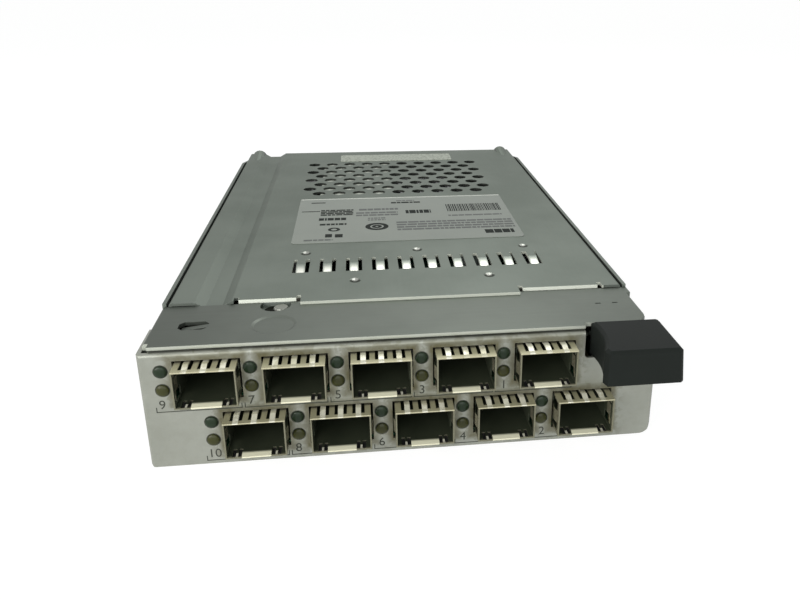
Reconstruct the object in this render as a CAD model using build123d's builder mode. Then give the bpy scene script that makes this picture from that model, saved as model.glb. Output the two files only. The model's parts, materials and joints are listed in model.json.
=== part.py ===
"""Ten-port Ethernet I/O module: a sheet-metal tray with two stacked boards behind a faceplate.

Frame: origin at the centre of the tray's base, +Z up, faceplate towards -Y, millimetres.
A depth is measured back from the front of the faceplate, so y_at(0) is that face.
"""
import math
import os

from build123d import *

os.makedirs("parts", exist_ok=True)

# Driving dimensions of the box
panel_width = 126.0
panel_height = 30.4
module_depth = 200.0
sheet = 1.0
cover_sheet = 0.8
bend_radius = 1.5
bridge_top = 31.9
lip_gap = 0.2

# Ports: a row of cages on each board, as many as the panel takes, the lower row half a pitch on
port_pitch = 20.32
port_margin = 15.5
notch_span = 19.0
ports_per_row = int((panel_width - notch_span - 5.0) / port_pitch)
first_port_x = port_margin - panel_width / 2
row_stagger = port_pitch / 2
cage_width = 14.4
cage_height = 9.6
cage_wall = 0.35
cage_length = 48.5
cage_stand_out = 5.0
cutout_gap_x = 0.55
cutout_gap_z = 0.45
finger_width = 1.3
finger_pitch = 2.13
finger_rise = 0.4
finger_sink = -0.1
roof_fingers = 5
side_finger_width = 3.4
side_finger_pitch = 4.4
side_fingers = 1
floor_slots = 2
floor_slot_width = 0.9
floor_slot_pitch = 1.4
latch_ramp_length = 1.8
latch_ramp_rise = 0.5

# Boards
board_thickness = 1.6
floor_gap = 1.5
board_spacing = 12.6
board_edge_gap = 1.0
main_board_length = 194.0
port_board_length = 66.0

# Rounds that repeat many times have this many flats, which keeps the mesh light
repeat_sides = 12
vent_sides = 8
hidden_sides = 8

# Indicator light pipes
pipe_diameter = 3.1
pipe_hole_gap = 0.15
pipe_offset_x = -10.5
upper_pipe_rise = 2.7
lower_pipe_rise = -2.2
upper_pipe_length = 16.0
lower_pipe_length = 11.0
pipe_proud = 0.15
led_height = 0.8
led_size = 2.2

# Ejector lever, placed from the panel's right edge
pivot_inset = 7.0
pivot_depth = 16.0
pin_diameter = 4.0
pin_clearance = 0.05
arm_sheet = 2.0
arm_bottom = 26.9
lever_gap = 0.2
eye_radius = 5.0
nose_reach = 9.0
nose_angle = -42.0
grip_reach_left = 11.4
grip_reach_right = 7.2
grip_draft = 0.8
grip_bottom = 23.6
grip_height = 8.9
grip_front_depth = -15.7
grip_rear_depth = 1.8
grip_scoop = 1.9
notch_bottom = 23.2

# Bridge and cover features
bridge_rear = 24.0
seam_gap = 0.3
hem_height = 2.7
cover_side_gap = 0.5
cover_flange = 8.0
tongue_front = 22.0
tab_front = 18.0
tab_ramp_rear = 24.85
tab_ramp_front = 24.45
left_tab_width = 14.8
right_tab_width = 21.2
right_tab_inset = 6.5
notch_width = 1.2
notch_rear = 26.4
strip_pitch = 7.62
strip_count = 10
strip_centre_x = 5.95
strip_depth = 43.2
strip_length = 10.7
strip_window = 4.7
strip_width = 2.5
strip_rise = 0.9
vent_diameter = 4.9
vent_pitch = 7.62
vent_row_pitch = 6.8
vent_rear_gap = 24.6
vent_centre_x = 4.0
vent_long_row = 10
vent_row_pairs = 4
groove_inset = 6.5
groove_width = 9.4
groove_depth = 1.5
dimple_diameter = 3.3
dimple_depth = 0.3
ear_radius = 3.2
ear_inset = 4.1
ear_rise = 1.6
ear_fade = 13.0

# Sizes that follow from them
tray_width = panel_width - 2 * sheet
notch_left = panel_width / 2 - notch_span
port_board_right = notch_left - 1.0
pivot_x = panel_width / 2 - pivot_inset
grip_left = pivot_x - grip_reach_left
cover_width = tray_width - 2 * (sheet + cover_side_gap)
cover_half = cover_width / 2
groove_left = groove_inset - cover_half
left_tab_start = groove_left + groove_width + 0.4 + notch_width
left_tab = (left_tab_start, left_tab_start + left_tab_width)
right_tab = (cover_half - right_tab_inset - right_tab_width, cover_half - right_tab_inset)
tongue_left = left_tab[1] + notch_width
tongue_right = right_tab[0] - notch_width
cover_top = bridge_top + cover_sheet
bridge_bottom = bridge_top - sheet
main_board_top = sheet + floor_gap + board_thickness
port_board_top = main_board_top + board_spacing + board_thickness
pivot_eye_top = arm_bottom + arm_sheet
front_y = -module_depth / 2
back_y = module_depth / 2


def y_at(depth):
    """Y of a depth behind the faceplate's front."""
    return front_y + depth


def front_plane(depth):
    """Plane facing the viewer of the faceplate, at a depth behind it."""
    return Plane.XZ.offset(-y_at(depth))


def save(part, label):
    """Name a finished piece and write it to its own file."""
    part.label = label
    export_step(part, f"parts/{label}.step")


low = (Align.MIN, Align.MIN)
stand = (Align.CENTER, Align.MIN)
top_row_x = [first_port_x + i * port_pitch for i in range(ports_per_row)]
bottom_row_x = [x + row_stagger for x in top_row_x]
ports = {}
for i in range(ports_per_row):
    ports[2 * (ports_per_row - i) - 1] = (top_row_x[i], port_board_top)
    ports[2 * (ports_per_row - i)] = (bottom_row_x[i], main_board_top)
port_centres = [(x, z + cage_height / 2) for x, z in ports.values()]
pipe_x_z = {
    "link_light_pipes": [(x + pipe_offset_x, z + upper_pipe_rise) for x, z in port_centres],
    "activity_light_pipes": [(x + pipe_offset_x, z + lower_pipe_rise) for x, z in port_centres],
}

# Cover screws: one flush in each side wall, near the rear
wall_outer = tray_width / 2
flange_depth = 14.0
cover_screw_depth = 180.0
cover_screw_z = cover_top - 5.0
cover_screw_planes = [
    Plane(
        origin=(side * wall_outer, y_at(cover_screw_depth), cover_screw_z),
        x_dir=(0, side, 0),
        z_dir=(side, 0, 0),
    )
    for side in (-1, 1)
]
screw_radius = 1.4
screw_hole_radius = 1.6
screw_head_radius = 2.6

with BuildPart() as screw_seat:
    with BuildSketch(Plane.XY) as seat_mouth:
        RegularPolygon(screw_head_radius, hidden_sides)
    extrude(amount=-sheet)
    chamfer(screw_seat.faces().sort_by(Axis.Z)[0].edges(), length=sheet - 0.05)

# Midplane connectors at the rear: name, centre x, width, height
guide_spacing = panel_width - 18.0
signal_width = guide_spacing / 3
signal_height = 15.0
power_width = guide_spacing / 9
power_height = 12.0
connector_length = 20.0
connector_proud = 1.5
window_gap = 0.3
guide_size = 10.0
guide_bore_radius = 2.6
guide_bore_depth = 14.0
connectors = {
    "signal_connector_left": (-0.25 * guide_spacing, signal_width, signal_height),
    "signal_connector_right": (0.13 * guide_spacing, signal_width, signal_height),
    "power_connector": (0.37 * guide_spacing, power_width, power_height),
}
guide_x = (-guide_spacing / 2, guide_spacing / 2)

# Chassis tray: a bent sheet with side walls and a windowed rear wall
lever_slot_end = 20.0
hem_bottom = bridge_top - hem_height
rear_wall_top = 28.0
wall_rear_chamfer = 6.0
with BuildPart() as tray:
    with BuildSketch(front_plane(sheet)) as u_section:
        Rectangle(tray_width, cover_top, align=stand)
        with Locations((0, sheet)):
            Rectangle(tray_width - 2 * sheet, cover_top, align=stand, mode=Mode.SUBTRACT)
        fillet(u_section.vertices().group_by(Axis.Y)[1], radius=bend_radius - sheet)
        fillet(u_section.vertices().group_by(Axis.Y)[0], radius=bend_radius)
    extrude(amount=sheet - module_depth)
    with BuildSketch(front_plane(module_depth)) as rear_wall:
        with Locations((0, sheet / 2)):
            Rectangle(tray_width - sheet, rear_wall_top - sheet / 2, align=stand)
    extrude(amount=sheet)
    with BuildSketch(front_plane(module_depth)) as rear_windows:
        for x, width, height in connectors.values():
            with Locations((x, main_board_top - board_thickness - window_gap)):
                Rectangle(
                    width + 2 * window_gap,
                    height + board_thickness + 2 * window_gap,
                    align=stand,
                )
        with Locations(*[(x, main_board_top - window_gap) for x in guide_x]):
            Rectangle(guide_size + 2 * window_gap, guide_size + 2 * window_gap, align=stand)
        for side in (-1, 1):
            with Locations((side * (wall_outer - sheet - 1.0), cover_top - cover_flange - window_gap)):
                Rectangle(2.0, cover_flange, align=stand)
    extrude(amount=sheet, mode=Mode.SUBTRACT)
    # Both walls step down under the bridge, and the right one lower still for the lever
    with BuildSketch(Plane.YZ) as bridge_step:
        with Locations((front_y, hem_bottom)):
            Rectangle(bridge_rear + seam_gap, cover_top, align=low)
    extrude(amount=tray_width, both=True, mode=Mode.SUBTRACT)
    with BuildSketch(Plane.YZ) as lever_slot:
        with Locations((front_y, notch_bottom)):
            Rectangle(lever_slot_end, cover_top, align=low)
    extrude(amount=tray_width, mode=Mode.SUBTRACT)
    with BuildSketch(Plane.YZ) as rear_corner:
        with BuildLine():
            Polyline(
                (back_y, cover_top),
                (back_y - 3 * wall_rear_chamfer, cover_top),
                (back_y, cover_top - wall_rear_chamfer / 2),
                close=True,
            )
        make_face()
    extrude(amount=tray_width, both=True, mode=Mode.SUBTRACT)
    with Locations(*cover_screw_planes):
        add(screw_seat.part, mode=Mode.SUBTRACT)
save(tray.part, "chassis_tray")

# Faceplate: one folded sheet with port cutouts, indicator holes and the lever notch
corner_radius_left = 1.0
corner_radius_right = 3.0
top_return = 5.0
top_return_left = 1 - panel_width / 2 + 1.4
side_return_start = corner_radius_right + 0.4
panel_bend = 0.6
with BuildPart() as faceplate:
    with BuildSketch(front_plane(0)) as outline:
        with BuildLine():
            Polyline(
                (-panel_width / 2, 0),
                (panel_width / 2, 0),
                (panel_width / 2, notch_bottom),
                (notch_left, notch_bottom),
                (notch_left, panel_height),
                (-panel_width / 2, panel_height),
                close=True,
            )
        make_face()
        base_corners = outline.vertices().group_by(Axis.Y)[0].sort_by(Axis.X)
        fillet(base_corners[0], radius=corner_radius_left)
        fillet(outline.vertices().group_by(Axis.Y)[0].sort_by(Axis.X)[-1], radius=corner_radius_right)
        inner_corner = outline.vertices().filter_by_position(Axis.X, notch_left - 1, notch_left + 1)
        fillet(inner_corner.sort_by(Axis.Y)[0], radius=corner_radius_left)
    extrude(amount=-sheet)
    for side, top in ((-1, panel_height), (1, notch_bottom)):
        with BuildSketch(Plane.YZ.offset(side * panel_width / 2)) as side_return:
            with Locations((front_y, side_return_start)):
                Rectangle(flange_depth, top - side_return_start, align=low)
        extrude(amount=-side * sheet)
    with BuildSketch(Plane.YZ.offset(top_return_left)) as top_fold:
        with Locations((front_y, panel_height - sheet)):
            Rectangle(top_return, sheet, align=low)
    extrude(amount=notch_left - top_return_left)
    front_edges = faceplate.edges().filter_by_position(Axis.Y, front_y, front_y)
    fillet(front_edges.filter_by(Axis.X).sort_by(Axis.Z)[-1], radius=sheet * 0.9)
    with BuildSketch(Plane.XY) as side_bends:
        for side in (-1, 1):
            with BuildLine():
                Polyline(
                    (side * panel_width / 2, front_y),
                    (side * (panel_width / 2 - panel_bend), front_y),
                    (side * panel_width / 2, front_y + panel_bend),
                    close=True,
                )
            make_face()
    extrude(amount=panel_height, mode=Mode.SUBTRACT)
    with BuildSketch(front_plane(0)) as openings:
        with Locations(*port_centres):
            Rectangle(cage_width + 2 * cutout_gap_x, cage_height + 2 * cutout_gap_z)
        with Locations(*[spot for row in pipe_x_z.values() for spot in row]):
            RegularPolygon(pipe_diameter / 2 + pipe_hole_gap, repeat_sides)
    extrude(amount=-sheet, mode=Mode.SUBTRACT)
save(faceplate.part, "faceplate")

# Front bridge: the top plate between faceplate and cover, with a rolled lip and side hems
lip_depth = 0.6
lip_left = top_return_left
plate_front = 2.6
lever_cut_depth = 2.2
plate_right = wall_outer - 1.2
plate_corner = 4.0
recess_spot = (left_tab[0] + 10.3, 10.4)
recess_diameter = 11.0
recess_depth = 0.3
recess_slope = 0.7
latch_spot = (left_tab[0] + 9.7, 22.2)
latch_hole_diameter = 7.8
latch_hole_sides = 24
lance_spot = (10.0 - wall_outer, 11.7)
lance_width = 7.1
lance_length = 4.8
lance_cut = 1.2
dash_depth = 13.9
with BuildPart() as bridge:
    with BuildSketch(Plane.XY.offset(bridge_bottom)) as plate:
        with BuildLine():
            Polyline(
                (-wall_outer, y_at(plate_front)),
                (lip_left, y_at(plate_front)),
                (lip_left, y_at(lip_depth)),
                (notch_left, y_at(lip_depth)),
                (notch_left, y_at(lever_cut_depth)),
                (plate_right, y_at(lever_cut_depth)),
                (plate_right, y_at(lever_slot_end + seam_gap)),
                (wall_outer, y_at(lever_slot_end + seam_gap)),
                (wall_outer, y_at(bridge_rear)),
                (-wall_outer, y_at(bridge_rear)),
                close=True,
            )
        make_face()
        right_front = plate.vertices().sort_by_distance((plate_right, y_at(lever_cut_depth), 0))[0]
        fillet(right_front, radius=plate_corner)
    extrude(amount=sheet)
    with BuildSketch(Plane.YZ.offset(lip_left)) as lip:
        with Locations((y_at(lip_depth), panel_height + lip_gap)):
            Rectangle(sheet, bridge_top - panel_height - lip_gap, align=low)
    extrude(amount=notch_left - lip_left)
    rolled = bridge.edges().filter_by_position(Axis.Y, y_at(lip_depth), y_at(lip_depth))
    fillet(rolled.filter_by(Axis.X).sort_by(Axis.Z)[-1], radius=sheet * 0.9)
    for side, start in ((-1, plate_front), (1, lever_slot_end + seam_gap)):
        with BuildSketch(Plane.YZ.offset(side * wall_outer)) as hem:
            with Locations((y_at(start), hem_bottom)):
                Rectangle(bridge_rear - start, hem_height, align=low)
        extrude(amount=-side * sheet)
    top_edges = bridge.edges().filter_by(Axis.Y).filter_by_position(Axis.Z, bridge_top, bridge_top)
    fillet(top_edges.filter_by_position(Axis.X, -wall_outer, -wall_outer), radius=sheet * 0.9)
    # A shallow round recess with a sloping rim
    with Locations((recess_spot[0], y_at(recess_spot[1]), bridge_top)):
        Cone(
            recess_diameter / 2 - recess_slope,
            recess_diameter / 2,
            recess_depth,
            align=(Align.CENTER, Align.CENTER, Align.MAX),
            mode=Mode.SUBTRACT,
        )
    with BuildSketch(Plane.XY.offset(bridge_top)) as bridge_holes:
        with Locations((latch_spot[0], y_at(latch_spot[1]))):
            RegularPolygon(latch_hole_diameter / 2, latch_hole_sides)
        with Locations((lance_spot[0], y_at(lance_spot[1]))):
            lance = Rectangle(lance_width, lance_length)
        chamfer(lance.vertices(), length=lance_cut)
        with Locations((wall_outer - 11.0, y_at(dash_depth)), (wall_outer - 6.4, y_at(dash_depth))):
            Rectangle(1.5, 0.6)
    extrude(amount=-sheet, mode=Mode.SUBTRACT)
    # The lanced hole keeps its flap, which dips towards the left
    with BuildSketch(front_plane(lance_spot[1])) as lance_flap:
        with BuildLine():
            Polyline(
                (lance_spot[0] + lance_width / 2, bridge_top - 0.1),
                (lance_spot[0] - lance_width / 2 + 0.6, bridge_top - 0.9),
                (lance_spot[0] - lance_width / 2 + 0.6, bridge_top - 1.6),
                (lance_spot[0] + lance_width / 2, bridge_bottom + 0.1),
                close=True,
            )
        make_face()
    extrude(amount=lance_length / 5, both=True)
save(bridge.part, "front_bridge")

# Top cover: the bent section runs front to back, then the front edge is cut into tongue and tabs
groove_slope = 2.5
groove_step = 2.6
cover_under = cover_top - cover_sheet
shelf_top = arm_bottom - 2 * lever_gap - 0.3
bracket_end = 40.0
groove_floor = cover_top - groove_depth
tab_top = bridge_bottom - 0.1
ear_sides = 16
with BuildPart() as dimple:
    with BuildSketch(Plane.XY) as dimple_mouth:
        RegularPolygon(dimple_diameter / 2, vent_sides)
    extrude(amount=-dimple_depth)
    dimple_floor = dimple.faces().sort_by(Axis.Z)[0]
    chamfer(dimple_floor.edges(), length=1.1, length2=dimple_depth - 0.02, reference=dimple_floor)
with BuildPart() as cover:
    with BuildSketch(front_plane(tongue_front)) as section:
        with BuildLine():
            Polyline(
                (-cover_half, cover_top),
                (groove_left, cover_top),
                (groove_left + groove_slope, groove_floor),
                (groove_left + groove_width - groove_step, groove_floor),
                (groove_left + groove_width, cover_top),
                (cover_half, cover_top),
                (cover_half, cover_top - cover_flange),
                (cover_half - cover_sheet, cover_top - cover_flange),
                (cover_half - cover_sheet, cover_under),
                (groove_left + groove_width, cover_under),
                (groove_left + groove_width - groove_step, groove_floor - cover_sheet),
                (groove_left + groove_slope, groove_floor - cover_sheet),
                (groove_left, cover_under),
                (cover_sheet - cover_half, cover_under),
                (cover_sheet - cover_half, cover_top - cover_flange),
                (-cover_half, cover_top - cover_flange),
                close=True,
            )
        make_face()
        outer_bends = section.vertices().group_by(Axis.Y)[-1].sort_by(Axis.X)
        fillet([outer_bends[0], outer_bends[-1]], radius=cover_sheet * 0.9)
    extrude(amount=tongue_front - module_depth)
    # Front edge: only the tongue reaches its full depth, and the tabs start at their ramps
    with BuildSketch(Plane.XY.offset(cover_top - cover_flange)) as front_cuts:
        with Locations((-cover_half - 1, y_at(tongue_front))):
            Rectangle(tongue_left + cover_half + 1, bridge_rear + seam_gap - tongue_front, align=low)
        with Locations((tongue_right, y_at(tongue_front))):
            Rectangle(cover_half + 1 - tongue_right, bridge_rear + seam_gap - tongue_front, align=low)
        for left, right in (left_tab, right_tab):
            with Locations((left - notch_width, y_at(tongue_front))):
                Rectangle(
                    right - left + 2 * notch_width,
                    notch_rear - tongue_front,
                    align=low,
                )
    extrude(amount=cover_flange, mode=Mode.SUBTRACT)
    for left, right in (left_tab, right_tab):
        with BuildSketch(Plane.YZ.offset(left)) as tab_profile:
            with BuildLine():
                Polyline(
                    (y_at(notch_rear), cover_top),
                    (y_at(tab_ramp_rear), cover_top),
                    (y_at(tab_ramp_front), tab_top),
                    (y_at(tab_front), tab_top),
                    (y_at(tab_front), tab_top - cover_sheet),
                    (y_at(tab_ramp_front) + cover_sheet, tab_top - cover_sheet),
                    (y_at(tab_ramp_rear) + cover_sheet, cover_under),
                    (y_at(notch_rear), cover_under),
                    close=True,
                )
            make_face()
        extrude(amount=right - left)
    # The left tab's latch dome stands up into the hole of the bridge
    with BuildSketch(Plane.XY.offset(tab_top)) as latch_dome:
        with Locations((latch_spot[0] + 1.4, y_at(latch_spot[1] - 0.4))):
            RegularPolygon(2.2, repeat_sides)
    extrude(amount=0.8, taper=30)
    # Contact strips: a window each, bridged by a raised strip
    first_strip = strip_centre_x - (strip_count - 1) * strip_pitch / 2
    strip_x = [first_strip + i * strip_pitch for i in range(strip_count)]
    strip_mid = strip_depth + strip_length / 2
    with BuildSketch(Plane.XY.offset(cover_top)) as strip_windows:
        with Locations(*[(x, y_at(strip_mid)) for x in strip_x]):
            Rectangle(strip_window, strip_length)
    extrude(amount=-cover_sheet, mode=Mode.SUBTRACT)
    with BuildSketch(*[Plane.YZ.offset(x) for x in strip_x]) as strip_profiles:
        with BuildLine():
            Polyline(
                (y_at(strip_depth), cover_top),
                (y_at(strip_depth + 0.42 * strip_length), cover_top + strip_rise),
                (y_at(strip_depth + 0.8 * strip_length), cover_top + strip_rise),
                (y_at(strip_depth + strip_length), cover_top),
                (y_at(strip_depth + strip_length), cover_under),
                (y_at(strip_depth + 0.8 * strip_length), cover_under + strip_rise),
                (y_at(strip_depth + 0.42 * strip_length), cover_under + strip_rise),
                (y_at(strip_depth), cover_under),
                close=True,
            )
        make_face()
    extrude(amount=strip_width / 2, both=True)
    # Shallow round pits beside the strips
    dimple_spots = [(-27.6, 60.0), (6.3, 60.0), (39.8, 60.0), (-12.8, 36.0), (25.2, 36.0)]
    with Locations(*[(x, y_at(d), cover_top) for x, d in dimple_spots]):
        add(dimple.part, mode=Mode.SUBTRACT)
    # Rear corner ears: short half-round beads that fade forwards, hollow underneath
    ear_x = cover_half - ear_inset
    fade = (0, -1, -ear_rise / ear_fade)
    for side in (-1, 1):
        with BuildSketch(front_plane(module_depth)) as ear:
            with Locations((side * ear_x, cover_top + ear_rise - ear_radius)):
                RegularPolygon(ear_radius, ear_sides)
            with Locations((side * ear_x, cover_under)):
                Rectangle(4 * ear_radius, 4 * ear_radius, align=(Align.CENTER, Align.MAX), mode=Mode.SUBTRACT)
        extrude(amount=ear_fade, dir=fade)
        with BuildSketch(front_plane(module_depth)) as ear_hollow:
            with Locations((side * ear_x, cover_top + ear_rise - ear_radius)):
                RegularPolygon(ear_radius - cover_sheet, ear_sides)
        extrude(amount=ear_fade, dir=fade, mode=Mode.SUBTRACT)
    for plane in cover_screw_planes:
        with BuildSketch(plane) as screw_hole:
            RegularPolygon(screw_radius, hidden_sides)
        extrude(amount=-4 * sheet, mode=Mode.SUBTRACT)
    # The right flange is shallower where the lever's bracket passes under it
    with BuildSketch(Plane.YZ.offset(cover_half)) as bracket_relief:
        with Locations((front_y, 0)):
            Rectangle(bracket_end + 0.5, shelf_top + 0.4, align=low)
    extrude(amount=-3 * cover_sheet, mode=Mode.SUBTRACT)
    # Vent field, cut last because it has the most edges: long and short rows by turns
    vent_radius = vent_diameter / 2 * 1.05
    vent_span = vent_row_pitch * (2 * vent_row_pairs - 1)
    vent_mid = back_y - vent_rear_gap - vent_span / 2
    with BuildSketch(Plane.XY.offset(cover_top)) as vents:
        with Locations((vent_centre_x, vent_mid - vent_row_pitch / 2)):
            with GridLocations(vent_pitch, 2 * vent_row_pitch, vent_long_row - 1, vent_row_pairs):
                RegularPolygon(vent_radius, vent_sides)
        with Locations((vent_centre_x, vent_mid + vent_row_pitch / 2)):
            with GridLocations(vent_pitch, 2 * vent_row_pitch, vent_long_row, vent_row_pairs):
                RegularPolygon(vent_radius, vent_sides)
    extrude(amount=-cover_sheet, mode=Mode.SUBTRACT)
save(cover.part, "top_cover")

# Labels on the cover
label_thickness = 0.15
labels = {
    "rating_label": (4.75, 93.85, 75.0, 51.0, 1.5),
    "rear_strip_label": (5.9, 186.5, 50.0, 12.5, 0.8),
}
for name, (x, depth, width, length, radius) in labels.items():
    with BuildPart() as label:
        with BuildSketch(Plane.XY.offset(cover_top)) as label_outline:
            with Locations((x, y_at(depth))):
                RectangleRounded(width, length, radius)
        extrude(amount=label_thickness)
    save(label.part, name)

# Boards, with holes for their screws
board_front = sheet + 0.6
main_board_bottom = main_board_top - board_thickness
port_board_bottom = port_board_top - board_thickness
main_board_width = tray_width - 2 * (sheet + board_edge_gap)
main_hole_x = main_board_width / 2 - 5.0
main_screw_spots = [(s * main_hole_x, y_at(d)) for s in (-1, 1) for d in (72.5, 172.0)]
stack_spots = [(top_row_x[-1], y_at(50.0))]
stack_spots.append((first_port_x - cage_width / 2 - 2.7, y_at(30.0)))
with BuildPart() as main_board:
    with BuildSketch(Plane.XY.offset(main_board_bottom)) as main_outline:
        with Locations((0, y_at(board_front))):
            Rectangle(main_board_width, main_board_length, align=stand)
        with Locations(*main_screw_spots, *stack_spots):
            RegularPolygon(screw_hole_radius, hidden_sides, mode=Mode.SUBTRACT)
    extrude(amount=board_thickness)
save(main_board.part, "main_board")

with BuildPart() as port_board:
    with BuildSketch(Plane.XY.offset(port_board_bottom)) as port_outline:
        with Locations((port_board_right, y_at(board_front))):
            Rectangle(
                port_board_right + main_board_width / 2,
                port_board_length,
                align=(Align.MAX, Align.MIN),
            )
        with Locations(*stack_spots):
            RegularPolygon(screw_hole_radius, hidden_sides, mode=Mode.SUBTRACT)
    extrude(amount=board_thickness)
save(port_board.part, "port_board")

# Port cage, mouth at the origin's plane and running back along +Y, standing on Z = 0
rim = 1.3
finger_end = cage_stand_out + sheet + 0.6
finger_crest = rim + 1.9
inner_width = cage_width - 2 * cage_wall
inner_height = cage_height - 2 * cage_wall
roof_finger_x = [(i - (roof_fingers - 1) / 2) * finger_pitch for i in range(roof_fingers)]
side_finger_z = [
    cage_height / 2 + (i - (side_fingers - 1) / 2) * side_finger_pitch for i in range(side_fingers)
]
floor_slot_x = [3.95 + i * floor_slot_pitch for i in range(floor_slots)]
socket_length = 9.2
socket_width = 11.8
socket_height = 6.0
socket_rear_gap = 1.0
socket_start = cage_length - cage_wall - socket_rear_gap - socket_length


def bump(outer, inner, rise):
    """Corner points of a spring finger: a strip between two levels that bows away and returns."""
    return [
        (rim, outer),
        (finger_crest, outer + rise),
        (finger_end, outer),
        (finger_end, inner),
        (finger_crest, inner + rise),
        (rim, inner),
    ]


with BuildPart() as port_cage:
    with BuildSketch(Plane.XZ) as tube:
        Rectangle(cage_width, cage_height, align=stand)
        with Locations((0, cage_wall)):
            Rectangle(inner_width, inner_height, align=stand, mode=Mode.SUBTRACT)
    extrude(amount=-cage_length)
    with BuildSketch(Plane.XZ.offset(-cage_length)) as rear_flap:
        Rectangle(cage_width, cage_height, align=stand)
    extrude(amount=cage_wall)
    # Windows in roof and sides behind the rim, and slots beside the latch tab in the floor
    with BuildSketch(Plane.XY.offset(cage_height)) as roof_window:
        with Locations((0, rim)):
            Rectangle(roof_fingers * finger_pitch + 0.85, finger_end - rim, align=stand)
    extrude(amount=-cage_wall, mode=Mode.SUBTRACT)
    with BuildSketch(Plane.YZ.offset(-cage_width / 2)) as side_window:
        with Locations((rim, cage_height / 2)):
            Rectangle(finger_end - rim, inner_height - 1.0, align=(Align.MIN, Align.CENTER))
    extrude(amount=cage_width, mode=Mode.SUBTRACT)
    with BuildSketch(Plane.XY) as floor_slots:
        for side in (-1, 1):
            with Locations(*[(side * x, cage_wall) for x in floor_slot_x]):
                Rectangle(floor_slot_width, 3.4, align=stand)
        with Locations((0, cage_length - cage_wall)):
            Rectangle(
                inner_width,
                socket_length + 2 * socket_rear_gap,
                align=(Align.CENTER, Align.MAX),
            )
    extrude(amount=cage_wall, mode=Mode.SUBTRACT)
    # Every other roof finger bows out to the faceplate, and those between dip in to the plug
    for first, rise in ((0, finger_rise), (1, finger_sink)):
        with BuildSketch(*[Plane.YZ.offset(x) for x in roof_finger_x[first::2]]) as roof_strips:
            with BuildLine():
                Polyline(*bump(cage_height, cage_height - cage_wall, rise), close=True)
            make_face()
        extrude(amount=finger_width / 2, both=True)
    for side in (-1, 1):
        outer, inner = side * cage_width / 2, side * inner_width / 2
        points = [(x, y) for y, x in bump(outer, inner, side * finger_rise)]
        with BuildSketch(*[Plane.XY.offset(z) for z in side_finger_z]) as side_strips:
            with BuildLine():
                Polyline(*points, close=True)
            make_face()
        extrude(amount=side_finger_width / 2, both=True)
    # Latch tab: the floor between the slots rises inwards to catch a plug's latch
    with BuildSketch(Plane.YZ) as latch_ramp:
        with BuildLine():
            Polyline(
                (0, cage_wall),
                (latch_ramp_length, cage_wall + latch_ramp_rise),
                (latch_ramp_length, cage_wall),
                close=True,
            )
        make_face()
    extrude(amount=floor_slot_x[0] - floor_slot_width / 2, both=True)
cage_y = y_at(-cage_stand_out)
for number, (x, z) in ports.items():
    save(Pos(x, cage_y, z) * port_cage.part, f"port_cage_{number}")

# Edge-card sockets inside the rear of each cage
with BuildPart() as port_socket:
    with BuildSketch(Plane.YZ.offset(-socket_width / 2)) as socket_side:
        with BuildLine():
            Polyline(
                (socket_start, 0),
                (socket_start + socket_length, 0),
                (socket_start + socket_length, socket_height),
                (socket_start + 1.2, socket_height),
                (socket_start, socket_height - 1.2),
                close=True,
            )
        make_face()
    extrude(amount=socket_width)
    with BuildSketch(Plane.XZ.offset(-socket_start)) as card_slot:
        with Locations((0, socket_height / 2)):
            Rectangle(9.4, 1.3)
    extrude(amount=-socket_length * 0.7, mode=Mode.SUBTRACT)
rows = {"upper_port_sockets": (top_row_x, port_board_top), "lower_port_sockets": (bottom_row_x, main_board_top)}
for name, (row_x, z) in rows.items():
    with BuildPart() as sockets:
        with Locations(*[(x, cage_y, z) for x in row_x]):
            add(port_socket.part)
    save(sockets.part, name)

# Light pipes: a round rod in the faceplate and a leg down to the chip on the board below
pipe_lengths = {"link_light_pipes": upper_pipe_length, "activity_light_pipes": lower_pipe_length}
leg = 2.4
led_spots = []
for name, spots in pipe_x_z.items():
    length = pipe_lengths[name]
    with BuildPart() as pipes:
        for x, z in spots:
            board_top = port_board_top if z > port_board_top else main_board_top
            foot = board_top + led_height
            with BuildSketch(front_plane(-pipe_proud)) as rod_section:
                with Locations((x, z)):
                    RegularPolygon(pipe_diameter / 2, hidden_sides)
            extrude(amount=-(length + pipe_proud))
            with BuildSketch(Plane.XY.offset(foot)) as leg_section:
                with Locations((x, y_at(length - leg / 2))):
                    Rectangle(leg, leg)
            extrude(amount=z - foot)
            led_spots.append((x, y_at(length - leg / 2), board_top))
    save(pipes.part, name)

with BuildPart() as leds:
    with Locations(*led_spots):
        Box(led_size, led_size, led_height, align=(Align.CENTER, Align.CENTER, Align.MIN))
save(leds.part, "indicator_chips")

# Stacking connector and standoffs between the boards
stack_x = -8.0
stack_depth = 60.0
stack_length = 50.0
stack_width = 6.0
lower_half = 7.0
with BuildPart() as stack_socket:
    with BuildSketch(Plane.XY.offset(main_board_top)) as socket_body:
        with Locations((stack_x, y_at(stack_depth))):
            Rectangle(stack_length, stack_width)
            Rectangle(stack_length - 4, stack_width - 3, mode=Mode.SUBTRACT)
    extrude(amount=lower_half)
save(stack_socket.part, "stacking_connector_lower")

with BuildPart() as stack_plug:
    with BuildSketch(Plane.XY.offset(port_board_bottom)) as plug_body:
        with Locations((stack_x, y_at(stack_depth))):
            Rectangle(stack_length, stack_width)
    extrude(amount=-(board_spacing - lower_half))
    with BuildSketch(Plane.XY.offset(main_board_top + lower_half)) as plug_blade:
        with Locations((stack_x, y_at(stack_depth))):
            Rectangle(stack_length - 4.4, stack_width - 3.4)
    extrude(amount=-(lower_half - 1.5))
save(stack_plug.part, "stacking_connector_upper")

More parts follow.
